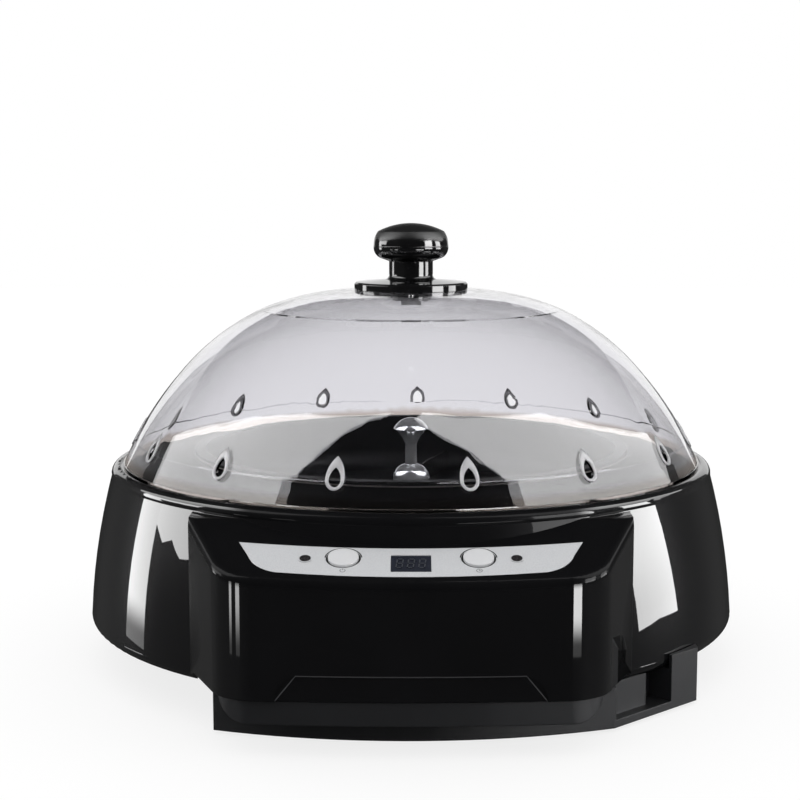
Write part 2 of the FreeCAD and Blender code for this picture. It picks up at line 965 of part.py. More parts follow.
housing_boss_top = under_deck(housing_screw_circle)
housing_bosses = prism(
    "housing_bosses",
    "XY_Plane",
    circles(housing_screw_places, dim.boss_radius),
    flange_top,
    housing_boss_top - flange_top,
)
reflector_flange_top = flange_bottom + dim.reflector_flange_height + dim.reflector_sheet
reflector_bosses = prism(
    "reflector_bosses",
    "XY_Plane",
    circles(reflector_screw_places, dim.boss_radius),
    reflector_flange_top,
    under_deck(reflector_boss_circle) - reflector_flange_top,
)
boss_bores = prism(
    "boss_bores", "XY_Plane", circles(housing_screw_places, dim.screw_core), flange_top, dim.screw_grip
)
reflector_bores = prism(
    "reflector_bores",
    "XY_Plane",
    circles(reflector_screw_places, dim.screw_core),
    reflector_flange_top,
    dim.screw_grip,
)

housing_skin = joined("housing_skin", "MultiFuse", [round_shell, block_front])
housing_hollows = joined(
    "housing_hollows", "MultiFuse", [block_cavity, arch_recess, fascia_recess, panel_holes]
)
open_housing = carved("open_housing", housing_skin, housing_hollows)
housing_with_bosses = joined(
    "housing_with_bosses", "MultiFuse", [open_housing, housing_bosses, reflector_bosses, panel_posts]
)
housing_bores = joined("housing_bores", "MultiFuse", [boss_bores, reflector_bores, post_bores])
add_node(carved("top_housing_solid", housing_with_bosses, housing_bores), "top_housing")


# ---- Base housing, base plate, feet ----


def plinth_outline(inset):
    # Plan of the plinth: a bowed front, and a wing on the right with its front corner cut off.
    return [
        (inset - plinth_left, inset - dim.plinth_front_left),
        (
            dim.wing_start - inset,
            inset - dim.wing_start_front,
            as_size(0),
            inset - dim.plinth_front,
        ),
        (dim.wing_right - inset, inset - dim.wing_front),
        (dim.wing_right - inset, dim.wing_back - inset / 2),
        (dim.back_corner_right - inset / 2, dim.plinth_back - inset),
        (inset / 2 - dim.back_corner_left, dim.plinth_back - inset),
        (inset - plinth_left, dim.back_corner_side - inset / 2),
    ]


chamfer_x = dim.wing_right - dim.wing_start
chamfer_y = dim.wing_start_front - dim.wing_front
chamfer_length = square_root(chamfer_x * chamfer_x + chamfer_y * chamfer_y)
chamfer_along = (chamfer_x / chamfer_length, chamfer_y / chamfer_length)


def along_chamfer(start_x, start_y, forward, inward):
    # A point forward along the wing's cut corner and inward from its face.
    along_x, along_y = chamfer_along
    return (
        start_x + along_x * forward - along_y * inward,
        start_y + along_y * forward + along_x * inward,
    )


def wing_block_outline(gap):
    # The solid band behind the wing's cut corner, which its bay and slot are sunk into.
    width = dim.slot_depth + dim.base_wall + gap
    start = (dim.wing_start, -dim.wing_start_front)
    end = (dim.wing_right, -dim.wing_front)
    return [
        along_chamfer(*start, -dim.wing_margin, width),
        along_chamfer(*start, -dim.wing_margin, -dim.wing_margin),
        along_chamfer(*end, dim.wing_margin, -dim.wing_margin),
        along_chamfer(*end, dim.wing_margin, width),
    ]


def skirt_outline(inset):
    # Plan of the skirt under the control block: round front corners and a bowed front.
    side = (dim.skirt_side, -dim.skirt_side_front)
    corner = (dim.skirt_corner_x, -dim.skirt_corner_front)
    round_x, round_y = bowed(side, corner, dim.skirt_corner_bow)
    right = [
        (side[0] - inset, inset - dim.skirt_back),
        (side[0] - inset, side[1]),
        (corner[0] - inset, corner[1] + inset, round_x - inset, round_y + inset),
    ]
    front = [(inset - corner[0], corner[1] + inset, as_size(0), inset - dim.skirt_front)]
    return right + front + mirrored(right)


plinth = prism(
    "plinth", "XY_Plane", [plinth_outline(as_size(0))], plinth_bottom, dim.plinth_depth
)
flange_radius = dim.body_edge_radius - dim.housing_wall - dim.flange_fit
flange = prism("flange", "XY_Plane", disc(flange_radius), flange_bottom, dim.base_wall)
skirt_tongue = prism(
    "skirt_tongue", "XY_Plane", [skirt_outline(as_size(0))], as_size(0), dim.skirt_top
)
skirt_outer = prism(
    "skirt_outer",
    "XY_Plane",
    [skirt_outline(-dim.skirt_step)],
    as_size(0),
    dim.block_bottom - dim.skirt_gap,
)
skirt_plan = joined("skirt_plan", "MultiFuse", [skirt_tongue, skirt_outer])
skirt_reach = dim.skirt_side + dim.skirt_step


def skirt_face_outline(inset):
    # Front view of the skirt, with round lower corners.
    reach = skirt_reach - inset
    low = dim.skirt_bottom + inset
    round_start = skirt_reach - dim.skirt_end_round
    round_top = dim.skirt_bottom + dim.skirt_end_round
    middle = (dim.skirt_end_round - inset) * (1 - cosine(as_size(45)))
    return [
        (reach, dim.skirt_top - inset),
        (-reach, dim.skirt_top - inset),
        (-reach, round_top),
        (-round_start, low, middle - reach, low + middle),
        (round_start, low),
        (reach, round_top, reach - middle, low + middle),
    ]


skirt_face = prism(
    "skirt_face", "XZ_Plane", [skirt_face_outline(as_size(0))], as_size(0), dim.body_radius * 2
)
skirt = joined("skirt", "MultiCommon", [skirt_plan, skirt_face])
plinth_inside = prism(
    "plinth_inside", "XY_Plane", [plinth_outline(dim.base_wall)], as_size(0), flange_bottom
)
wing_block = prism(
    "wing_block", "XY_Plane", [wing_block_outline(as_size(0))], as_size(0), flange_top
)
plinth_hollow = carved("plinth_hollow", plinth_inside, wing_block)
opening_disc = prism("opening_disc", "XY_Plane", disc(dim.base_opening_radius), as_size(0), deck_top)
opening_limit = prism(
    "opening_limit", "XY_Plane", [plinth_outline(dim.base_wall)], as_size(0), deck_top
)
base_opening = joined("base_opening", "MultiCommon", [opening_disc, opening_limit])
hollow_plan = prism(
    "hollow_plan", "XY_Plane", [skirt_outline(dim.base_wall)], as_size(0), dim.skirt_top
)
hollow_face = prism(
    "hollow_face",
    "XZ_Plane",
    [skirt_face_outline(dim.base_wall)],
    as_size(0),
    dim.body_radius * 2,
)
skirt_hollow = joined("skirt_hollow", "MultiCommon", [hollow_plan, hollow_face])
plinth_bosses = prism(
    "plinth_bosses",
    "XY_Plane",
    circles(plate_screw_places, dim.boss_radius),
    plate_top,
    flange_top - plate_top,
)
plinth_bores = prism(
    "plinth_bores",
    "XY_Plane",
    circles(plate_screw_places, dim.screw_core),
    plate_top,
    dim.screw_grip,
)
strap_screw_places = [(-strap_screw_place, as_size(0)), (strap_screw_place, as_size(0))]
flange_bores = prism(
    "flange_bores",
    "XY_Plane",
    circles(housing_screw_places + strap_screw_places, dim.screw_core),
    flange_bottom - dim.base_wall,
    dim.base_wall * 3,
)
chamfer_angle = math.degrees(math.atan2(float(chamfer_y), float(chamfer_x)))
slot_start = dim.bay_start + dim.bay_width
wing_bay = prism(
    "wing_bay",
    "XY_Plane",
    [box_outline(dim.bay_start, slot_start, -dim.bay_depth, dim.bay_depth)],
    plinth_bottom + dim.bay_sill,
    dim.plinth_depth - dim.bay_sill,
)
place(wing_bay, dim.wing_start, -dim.wing_start_front, 0, Vector(0, 0, 1), chamfer_angle)
wing_slot = prism(
    "wing_slot",
    "XY_Plane",
    [box_outline(slot_start, slot_start + dim.slot_width, -dim.bay_depth, dim.slot_depth)],
    plinth_bottom + dim.bay_sill,
    dim.plinth_depth - dim.bay_sill,
)
place(wing_slot, dim.wing_start, -dim.wing_start_front, 0, Vector(0, 0, 1), chamfer_angle)


def wing_rim_outline():
    # The end of the cut corner past the slot, where the wing rises beside the round body.
    start = (dim.wing_start, -dim.wing_start_front)
    near = slot_start + dim.slot_width
    far = chamfer_length + dim.wing_margin
    return [
        along_chamfer(*start, near, dim.slot_depth),
        along_chamfer(*start, near, -dim.wing_margin),
        along_chamfer(*start, far, -dim.wing_margin),
        along_chamfer(*start, far, dim.slot_depth),
    ]


wing_rim_plan = prism(
    "wing_rim_plan", "XY_Plane", [plinth_outline(as_size(0))], flange_bottom, dim.wing_rim_height
)
wing_rim_end = prism(
    "wing_rim_end", "XY_Plane", [wing_rim_outline()], flange_bottom, dim.wing_rim_height
)
wing_rim_band = joined("wing_rim_band", "MultiCommon", [wing_rim_plan, wing_rim_end])
wing_rim_room = prism(
    "wing_rim_room",
    "XY_Plane",
    disc(dim.body_radius + dim.wing_rim_gap),
    flange_bottom,
    dim.wing_rim_height,
)
wing_rim = carved("wing_rim", wing_rim_band, wing_rim_room)
gland_hole = prism(
    "gland_hole",
    "XZ_Plane",
    [("circle", -dim.gland_place, dim.gland_height, dim.gland_radius + dim.running_gap)],
    -dim.plinth_back - dim.base_wall,
    dim.base_wall * 3,
)

base_skin = joined("base_skin", "MultiFuse", [plinth, flange, skirt, wing_rim])
base_hollows = joined(
    "base_hollows",
    "MultiFuse",
    [plinth_hollow, base_opening, skirt_hollow, wing_bay, wing_slot, gland_hole],
)
hollow_base = carved("hollow_base", base_skin, base_hollows)
base_with_bosses = joined("base_with_bosses", "MultiFuse", [hollow_base, plinth_bosses])
base_bores = joined("base_bores", "MultiFuse", [plinth_bores, flange_bores])
add_node(carved("base_housing_solid", base_with_bosses, base_bores), "base_housing")

foot_places = {
    "foot_front_left": (-foot_left, -dim.foot_front_left),
    "foot_front_right": (dim.foot_right, -dim.foot_front_right),
    "foot_back_right": (dim.foot_right, dim.foot_back_right),
    "foot_back_left": (-foot_left, dim.foot_back_left),
}
stud_bore = dim.foot_stud_radius + dim.running_gap

base_plate = new_body("base_plate")
add_pad(
    base_plate,
    "XY_Plane",
    [plinth_outline(dim.base_wall + dim.plate_gap)],
    plate_bottom,
    dim.plate_thickness,
)
add_pocket(
    base_plate,
    "XY_Plane",
    [wing_block_outline(dim.plate_gap)],
    plate_bottom,
    dim.plate_thickness,
)
add_pocket(
    base_plate,
    "XY_Plane",
    circles(plate_screw_places, dim.screw_core + dim.running_gap)
    + circles(foot_places.values(), stud_bore),
    plate_bottom,
    dim.plate_thickness,
)
first_vent = -dim.base_vent_front - dim.base_vent_pitch * (dim.base_vent_count - 1) / 2
vent = add_pocket(
    base_plate,
    "XY_Plane",
    [
        box_outline(
            -dim.base_vent_length / 2,
            dim.base_vent_length / 2,
            first_vent - dim.base_vent_width / 2,
            first_vent + dim.base_vent_width / 2,
        )
    ],
    plate_bottom,
    dim.plate_thickness,
)
vents = base_plate.newObject("PartDesign::LinearPattern", "base_vents")
vents.Originals = [vent]
for axis in base_plate.Origin.OriginFeatures:
    if axis.Role == "Y_Axis":
        vents.Direction = (axis, [""])
vents.setExpression("Length", (dim.base_vent_pitch * (dim.base_vent_count - 1)).formula)
vents.setExpression("Occurrences", dim.base_vent_count.formula)
base_plate.Tip = vents
add_node(base_plate, "base_plate")

for foot_name, (foot_x, foot_y) in foot_places.items():
    barb_bottom = plate_top + dim.running_gap
    foot = turned(
        foot_name,
        [
            (as_size(0), as_size(0)),
            (dim.foot_radius, as_size(0)),
            (dim.foot_radius, plate_bottom),
            (dim.foot_stud_radius, plate_bottom),
            (dim.foot_stud_radius, barb_bottom),
            (dim.foot_barb_radius, barb_bottom),
            (dim.foot_stud_radius - dim.screw_core / 2, barb_bottom + dim.plate_thickness),
            (as_size(0), barb_bottom + dim.plate_thickness),
        ],
    )
    place(foot, foot_x, foot_y, 0)
    add_node(foot, foot_name)

casing_screws = screws(
    "casing_screws", housing_screw_places, flange_bottom, 1,
    dim.screw_core, dim.screw_head, dim.screw_head_thickness, dim.screw_grip,
)
add_pad(casing_screws, "XY_Plane", circles(plate_screw_places, dim.screw_head),
        plate_bottom - dim.screw_head_thickness, dim.screw_head_thickness)
add_pad(casing_screws, "XY_Plane", circles(plate_screw_places, dim.screw_core), plate_bottom,
        dim.screw_grip)


# ---- Control panel ----

fascia = prism("control_fascia", "XY_Plane", [fascia_outline(as_size(0))], -dim.fascia_thickness,
               dim.fascia_thickness)
add_pocket(
    fascia,
    "XY_Plane",
    circles(button_places, button_bore)
    + circles(lamp_places, dim.lamp_radius)
    + [window_outline(dim.window_width, dim.window_height)],
    -dim.fascia_thickness,
    dim.fascia_thickness,
)
add_node(place_on_panel(fascia), "control_fascia")

window_bottom = -dim.fascia_thickness
window = prism(
    "display_window",
    "XY_Plane",
    [window_outline(dim.window_width - dim.fascia_gap, dim.window_height - dim.fascia_gap)],
    window_bottom,
    dim.window_thickness,
)
add_node(place_on_panel(window), "display_window")

module_top = window_bottom - dim.button_clearance
display = prism(
    "display_module",
    "XY_Plane",
    [window_outline(dim.display_width, dim.display_height)],
    board_top,
    module_top - board_top,
)
add_node(place_on_panel(display), "display_module")

board = prism(
    "control_board",
    "XY_Plane",
    [box_outline(-dim.board_half_width, dim.board_half_width, dim.board_near, dim.board_far)],
    board_bottom,
    dim.board_thickness,
)
add_pocket(board, "XY_Plane", circles(post_places, dim.screw_core + dim.running_gap), board_bottom,
           dim.board_thickness)
add_node(place_on_panel(board), "control_board")

board_screws = screws(
    "control_board_screws", post_places, board_bottom, 1,
    dim.screw_core, dim.screw_head, dim.screw_head_thickness, dim.board_screw_grip,
)
place_on_panel(board_screws)

lens_bottom = -dim.shoulder_wall
leds = prism("indicator_leds", "XY_Plane", circles(lamp_places, dim.lamp_radius - dim.button_clearance),
             board_top, lens_bottom - dim.button_clearance - board_top)
add_node(place_on_panel(leds), "indicator_leds")

switch_top = board_top + dim.switch_height
plunger_top = switch_top + dim.button_travel + dim.button_clearance
plunger_length = dim.button_travel + dim.button_clearance + dim.switch_height / 2
flange_under = -dim.shoulder_wall - dim.button_clearance - dim.button_flange_thickness

lenses = prism(
    "lamp_lenses",
    "XY_Plane",
    circles(lamp_places, dim.lamp_radius - dim.running_gap),
    lens_bottom,
    dim.shoulder_wall + dim.lens_proud,
)
add_node(place_on_panel(lenses), "lamp_lenses")

switches = new_body("touch_switches")
for switch_x, switch_y in button_places:
    half_side = dim.switch_side / 2
    add_pad(
        switches,
        "XY_Plane",
        [
            box_outline(
                switch_x - half_side, switch_x + half_side, switch_y - half_side, switch_y + half_side
            )
        ],
        board_top,
        dim.switch_height,
    )
bore_depth = plunger_length - dim.button_clearance + dim.running_gap * 2
add_pocket(
    switches,
    "XY_Plane",
    circles(button_places, dim.plunger_radius + dim.running_gap * 2),
    switch_top - bore_depth,
    bore_depth,
)
add_node(place_on_panel(switches), "touch_switches")

for label, (switch_x, switch_y) in zip(("on_off", "timer"), button_places):
    plunger = prism(
        f"{label}_plunger",
        "XY_Plane",
        circles([(switch_x, switch_y)], dim.plunger_radius),
        plunger_top - plunger_length,
        plunger_length,
    )
    add_node(place_on_panel(plunger), f"{label}_plunger")

    button = prism(
        f"{label}_button",
        "XY_Plane",
        circles([(switch_x, switch_y)], dim.button_flange_radius),
        flange_under,
        dim.button_flange_thickness,
    )
    add_pad(button, "XY_Plane", circles([(switch_x, switch_y)], dim.button_radius),
            flange_under, dim.button_proud - flange_under)
    add_pad(button, "XY_Plane", circles([(switch_x, switch_y)], dim.stem_radius),
            plunger_top, flange_under - plunger_top + dim.button_flange_thickness)
    add_node(place_on_panel(button), f"{label}_button")


# ---- Roasting pan and heater ----

pan_floor_radius = dim.pan_inner_radius - dim.pan_corner
fillet_height = pan_floor + dim.pan_corner
inner_mid = dim.pan_corner * cosine(as_size(45))
outer_mid = (dim.pan_corner + dim.pan_wall) * cosine(as_size(45))

add_node(
    turned(
        "roasting_pan",
        [
            (dim.pan_bush_radius, pan_underside),
            (pan_floor_radius, pan_underside),
            (
                pan_outer,
                fillet_height,
                pan_floor_radius + outer_mid,
                fillet_height - outer_mid,
            ),
            (pan_outer, pan_rim_bottom),
            (pan_rim_radius, pan_rim_bottom),
            (pan_rim_radius, pan_rim_top),
            (dim.pan_inner_radius, pan_rim_top),
            (dim.pan_inner_radius, fillet_height),
            (
                pan_floor_radius,
                pan_floor,
                pan_floor_radius + inner_mid,
                fillet_height - inner_mid,
            ),
            (dim.pan_bush_radius, pan_floor),
        ],
    ),
    "roasting_pan",
)
gasket_inner = deck_inner_radius + dim.running_gap
add_node(
    prism(
        "pan_gasket",
        "XY_Plane",
        ring(gasket_inner + dim.gasket_width, gasket_inner),
        deck_top,
        dim.gasket_thickness,
    ),
    "pan_gasket",
)
shaft_bore = dim.shaft_radius + dim.running_gap
add_node(
    turned(
        "pan_bush",
        [
            (shaft_bore, pan_underside - dim.pan_bush_drop),
            (dim.pan_bush_radius, pan_underside - dim.pan_bush_drop),
            (dim.pan_bush_radius, pan_floor),
            (dim.pan_bush_flange, pan_floor),
            (dim.pan_bush_flange, pan_floor + dim.pan_bush_proud / 2),
            (dim.pan_bush_radius, pan_floor + dim.pan_bush_proud),
            (shaft_bore, pan_floor + dim.pan_bush_proud),
        ],
    ),
    "pan_bush",
)

reflector_floor = flange_bottom + dim.reflector_floor_height
reflector_top = flange_bottom + dim.reflector_flange_height
sheet_gauge = dim.reflector_sheet
reflector = turned(
    "heat_reflector",
    [
        (dim.reflector_hole, reflector_floor),
        (reflector_floor_radius, reflector_floor),
        (reflector_radius, reflector_floor + reflector_radius - reflector_floor_radius),
        (reflector_radius, reflector_top),
        (reflector_flange, reflector_top),
        (reflector_flange, reflector_top + sheet_gauge),
        (reflector_radius - sheet_gauge, reflector_top + sheet_gauge),
        (
            reflector_radius - sheet_gauge,
            reflector_floor + reflector_radius - reflector_floor_radius + sheet_gauge / 2,
        ),
        (reflector_floor_radius - sheet_gauge / 2, reflector_floor + sheet_gauge),
        (dim.reflector_hole, reflector_floor + sheet_gauge),
    ],
)
element_height = pan_underside - dim.element_gap - dim.element_tube
end_angle = dim.element_opening / 2
leg_x = dim.element_radius * sine(end_angle) - dim.element_bend * cosine(end_angle)
leg_y = dim.element_radius * cosine(end_angle) + dim.element_bend * sine(end_angle)
leg_places = [(-leg_x, leg_y), (leg_x, leg_y)]
add_pocket(
    reflector,
    "XY_Plane",
    circles(leg_places, dim.terminal_hole),
    reflector_floor - sheet_gauge,
    sheet_gauge * 3,
)
add_pocket(
    reflector,
    "XY_Plane",
    circles(reflector_screw_places, dim.screw_core + dim.running_gap),
    reflector_top - sheet_gauge,
    sheet_gauge * 3,
)
add_node(reflector, "heat_reflector")
screws(
    "reflector_screws", reflector_screw_places, reflector_top, 1,
    dim.screw_core, dim.screw_head, dim.screw_head_thickness, dim.screw_grip - dim.screw_core,
)


def element_shape():
    # The heater tube: an open ring whose two ends bend down through the reflector.
    radius = float(dim.element_radius)
    height = float(element_height)
    bend = float(dim.element_bend)
    drop = float(dim.element_drop)
    half = math.radians(float(end_angle))
    down = Vector(0, 0, -1)

    def end_edges(side):
        # The quarter bend and the leg at one end; side is 1 at +X and -1 at -X.
        joint = Vector(side * radius * math.sin(half), radius * math.cos(half), height)
        along = Vector(-side * math.cos(half), math.sin(half), 0)
        centre = joint + down * bend
        corner = math.sin(math.pi / 4)
        middle = centre + along * (bend * corner) - down * (bend * corner)
        foot = centre + along * bend
        arc = Part.Arc(joint, middle, foot).toShape()
        leg = Part.makeLine(foot, foot + down * drop)
        return joint, arc, leg

    right_joint, right_arc, right_leg = end_edges(1)
    left_joint, left_arc, left_leg = end_edges(-1)
    ring_arc = Part.Arc(right_joint, Vector(0, -radius, height), left_joint).toShape()
    path = Part.Wire(Part.__sortEdges__([right_leg, right_arc, ring_arc, left_arc, left_leg]))
    start = path.OrderedVertexes[0].Point
    circle = Part.Wire(Part.makeCircle(float(dim.element_tube), start, down))
    return path.makePipeShell([circle], True, False)


element = doc.addObject("Part::Feature", "heating_element")
element.Shape = element_shape()
add_node(element, "heating_element")

clip_bottom = reflector_floor + sheet_gauge
clips = new_body("element_clips")
clip_half = dim.clip_width / 2
for clip_angle in (30, 150, 270):
    clip_x = dim.element_radius * cosine(as_size(clip_angle))
    clip_y = dim.element_radius * sine(as_size(clip_angle))
    add_pad(
        clips,
        "XY_Plane",
        [box_outline(clip_x - clip_half, clip_x + clip_half, clip_y - clip_half, clip_y + clip_half)],
        clip_bottom,
        element_height - dim.element_tube - dim.button_clearance - clip_bottom,
    )
add_node(clips, "element_clips")

sensor_x = -dim.sensor_place * cosine(as_size(45))
sensor_top = pan_underside - dim.button_clearance
sensor_bottom = sensor_top - dim.sensor_height
thermostat = prism(
    "thermostat",
    "XY_Plane",
    circles([(sensor_x, -sensor_x)], dim.sensor_radius),
    sensor_bottom,
    dim.sensor_height,
)
add_pad(thermostat, "XY_Plane", circles([(sensor_x, -sensor_x)], dim.sensor_post_radius), clip_bottom,
        sensor_top - clip_bottom)
add_node(thermostat, "thermostat")
fuse_height = reflector_floor - dim.fuse_radius - dim.button_clearance
fuse = prism(
    "thermal_fuse", "XY_Plane", disc(dim.fuse_radius), -dim.fuse_length / 2, dim.fuse_length
)
place(fuse, -sensor_x, -sensor_x, fuse_height, Vector(0, 1, 0), 90)
add_node(fuse, "thermal_fuse")


# ---- Gear motor ----

cover_bottom = flange_bottom + dim.case_height
cover_top = cover_bottom + dim.cover_thickness
case_bottom = plate_top + dim.case_clearance
case_floor = case_bottom + dim.case_wall
mid_plate_bottom = cover_bottom - dim.gear_room
mid_plate_top = mid_plate_bottom + dim.mid_plate_thickness
first_mesh = mid_plate_top + dim.first_mesh_gap
second_mesh = first_mesh + dim.first_face + dim.mesh_step
gear_distance = dim.gear_module * (dim.pinion_teeth + dim.wheel_teeth) / 2
wheel_height_top = second_mesh + dim.second_face
pinion_top = first_mesh + dim.first_face + dim.rotor_pinion_overlap
shaft_bottom = pinion_top + dim.shaft_foot_gap
magnet_bottom = case_floor + dim.magnet_lift
magnet_top = magnet_bottom + dim.magnet_height
inside_radius = dim.case_radius - dim.case_wall
case_seat = inside_radius - dim.running_gap
motor_screw_places = [(as_size(0), dim.motor_screw_place), (as_size(0), -dim.motor_screw_place)]

add_node(
    turned(
        "gearbox_case",
        [
            (as_size(0), case_bottom),
            (dim.case_radius, case_bottom),
            (dim.case_radius, cover_bottom),
            (inside_radius, cover_bottom),
            (inside_radius, case_floor),
            (as_size(0), case_floor),
        ],
    ),
    "gearbox_case",
)
gearbox_cover = prism(
    "gearbox_cover", "XY_Plane", disc(dim.case_radius), cover_bottom, dim.cover_thickness
)
add_pocket(
    gearbox_cover,
    "XY_Plane",
    disc(dim.bush_radius + dim.running_gap)
    + circles([(gear_distance, as_size(0))], dim.idler_pin_radius + dim.running_gap)
    + circles(motor_screw_places, dim.screw_core + dim.running_gap),
    cover_bottom,
    dim.cover_thickness,
)
add_node(gearbox_cover, "gearbox_cover")
mid_plate = prism("gearbox_mid_plate", "XY_Plane", disc(case_seat), mid_plate_bottom,
                  dim.mid_plate_thickness)
add_pocket(
    mid_plate,
    "XY_Plane",
    disc(dim.bush_flange)
    + circles([(gear_distance, as_size(0))], dim.idler_pin_radius + dim.running_gap),
    mid_plate_bottom,
    dim.mid_plate_thickness,
)
add_node(mid_plate, "gearbox_mid_plate")
add_node(
    prism("stator_coil", "XY_Plane", ring(dim.stator_outer, dim.stator_inner), case_floor,
          dim.stator_height),
    "stator_coil",
)
add_node(
    prism("rotor_pin", "XY_Plane", disc(dim.rotor_pin_radius), case_floor, pinion_top - case_floor),
    "rotor_pin",
)
add_node(
    prism(
        "idler_pin",
        "XY_Plane",
        circles([(gear_distance, as_size(0))], dim.idler_pin_radius),
        mid_plate_bottom,
        cover_top - mid_plate_bottom,
    ),
    "idler_pin",
)
add_node(
    prism("rotor_magnet", "XY_Plane", ring(dim.magnet_radius, dim.magnet_bore), magnet_bottom,
          dim.magnet_height),
    "rotor_magnet",
)


def gear_face(teeth):
    # Involute gear outline with its first tooth centred on +X, thinned by the backlash.
    module = float(dim.gear_module)
    pressure = math.radians(float(dim.pressure_angle))
    pitch = module * teeth / 2
    base = pitch * math.cos(pressure)
    tip = pitch + module * float(dim.tooth_addendum)
    root = pitch - module * float(dim.tooth_dedendum)
    half_tooth = (math.pi * module / 2 - float(dim.backlash) / 2) / (2 * pitch)
    involute = math.tan(pressure) - pressure

    def flank_angle(radius):
        roll = math.acos(min(1.0, base / radius))
        return half_tooth + involute - (math.tan(roll) - roll)

    def at(radius, angle):
        return Vector(radius * math.cos(angle), radius * math.sin(angle), 0)

    foot = max(base, root)
    levels = [foot + (tip - foot) * share for share in (0.0, 0.25, 0.5, 0.75, 1.0)]
    edges = []
    for tooth in range(teeth):
        centre = 2 * math.pi * tooth / teeth
        following = centre + 2 * math.pi / teeth
        rising = [at(radius, centre - flank_angle(radius)) for radius in levels]
        falling = [at(radius, centre + flank_angle(radius)) for radius in reversed(levels)]
        root_angle = flank_angle(foot)
        root_start = at(root, centre + root_angle)
        root_end = at(root, following - root_angle)
        next_rise = at(foot, following - root_angle)
        for points in (rising, falling):
            flank = Part.BSplineCurve()
            flank.interpolate(points)
            edges.append(flank.toShape())
        edges.append(Part.Arc(rising[-1], at(tip, centre), falling[0]).toShape())
        edges.append(Part.Arc(root_start, at(root, centre + math.pi / teeth), root_end).toShape())
        if foot > root:
            edges.append(Part.makeLine(falling[-1], root_start))
            edges.append(Part.makeLine(root_end, next_rise))
    return Part.Face(Part.Wire(Part.__sortEdges__(edges)))


def gear(teeth, bottom, face_width, turn, x):
    # A toothed solid on the axis at x, turned by an angle in degrees.
    solid = gear_face(int(float(teeth))).extrude(Vector(0, 0, float(face_width)))
    solid.rotate(Vector(0, 0, 0), Vector(0, 0, 1), turn)
    solid.translate(Vector(float(x), 0, float(bottom)))
    return solid


def rod(radius, bottom, top, x=0):
    height = float(top) - float(bottom)
    return Part.makeCylinder(float(radius), height, Vector(float(x), 0, float(bottom)))


def half_pitch(teeth):
    return 180.0 / float(teeth)


def add_shape(name, shape):
    feature = doc.addObject("Part::Feature", name)
    feature.Shape = shape
    return add_node(feature, name)


pinion_toothed = gear(dim.pinion_teeth, magnet_top, pinion_top - magnet_top, 0, 0)
pinion_hub = rod(dim.magnet_bore - dim.running_gap, magnet_bottom, magnet_top)
pinion_bore = rod(dim.rotor_pin_radius + dim.running_gap, magnet_bottom, pinion_top)
add_shape("rotor_pinion", pinion_toothed.fuse(pinion_hub).cut(pinion_bore).removeSplitter())

idler_top = wheel_height_top + dim.idler_overlap
idler_wheel = gear(
    dim.wheel_teeth, first_mesh, dim.first_face, half_pitch(dim.wheel_teeth), gear_distance
)
idler_pinion = gear(
    dim.pinion_teeth,
    first_mesh,
    idler_top - first_mesh,
    half_pitch(dim.pinion_teeth),
    gear_distance,
)
idler_bore = rod(dim.idler_pin_radius + dim.running_gap, first_mesh, idler_top, gear_distance)
add_shape("idler_gear", idler_wheel.fuse(idler_pinion).cut(idler_bore).removeSplitter())

output_wheel = gear(dim.wheel_teeth, second_mesh, dim.second_face, 0, 0)
output_bore = rod(dim.shaft_radius, second_mesh, wheel_height_top)
add_shape("output_gear", output_wheel.cut(output_bore))

bush_flange_bottom = cover_bottom - dim.bush_flange_thickness
add_node(
    turned(
        "shaft_bush",
        [
            (shaft_bore, bush_flange_bottom),
            (dim.bush_flange, bush_flange_bottom),
            (dim.bush_flange, cover_bottom),
            (dim.bush_radius, cover_bottom),
            (dim.bush_radius, cover_top + dim.bush_height),
            (shaft_bore, cover_top + dim.bush_height),
        ],
    ),
    "shaft_bush",
)
shaft_top = pan_floor + dim.shaft_reach
drive_pin_height = pan_floor + dim.drive_pin_rise
output_shaft = prism(
    "output_shaft", "XY_Plane", disc(dim.shaft_radius), shaft_bottom, shaft_top - shaft_bottom
)
add_pocket(
    output_shaft,
    "YZ_Plane",
    [("circle", as_size(0), drive_pin_height, dim.drive_pin_radius)],
    -dim.shaft_radius,
    dim.shaft_radius * 2,
)
add_node(output_shaft, "output_shaft")
add_node(
    prism(
        "drive_pin",
        "YZ_Plane",
        [("circle", as_size(0), drive_pin_height, dim.drive_pin_radius)],
        -dim.drive_pin_length / 2,
        dim.drive_pin_length,
    ),
    "drive_pin",
)

strap_top = cover_top + dim.strap_sheet
strap_bend = dim.case_radius + dim.strap_clearance
strap_foot = strap_bend + dim.strap_clearance
strap = prism(
    "motor_bracket",
    "XZ_Plane",
    [
        [
            (strap_reach, flange_top),
            (strap_reach, flange_top + dim.strap_sheet),
            (strap_foot + dim.strap_sheet, flange_top + dim.strap_sheet),
            (strap_bend + dim.strap_sheet, strap_top),
            (-strap_bend - dim.strap_sheet, strap_top),
            (-strap_foot - dim.strap_sheet, flange_top + dim.strap_sheet),
            (-strap_reach, flange_top + dim.strap_sheet),
            (-strap_reach, flange_top),
            (-strap_foot, flange_top),
            (-strap_bend, cover_top),
            (strap_bend, cover_top),
            (strap_foot, flange_top),
        ]
    ],
    -dim.strap_width,
    dim.strap_width * 2,
)
add_pocket(
    strap,
    "XY_Plane",
    disc(dim.bush_radius + dim.running_gap)
    + circles(strap_screw_places, dim.screw_core + dim.running_gap)
    + circles([(gear_distance, as_size(0))], dim.idler_pin_radius + dim.running_gap)
    + circles(motor_screw_places, dim.screw_core + dim.running_gap),
    as_size(0),
    deck_top,
)
add_node(strap, "motor_bracket")
motor_screws = screws(
    "motor_screws", motor_screw_places, strap_top, -1,
    dim.screw_core, dim.screw_head, dim.screw_head_thickness, dim.motor_screw_grip,
)
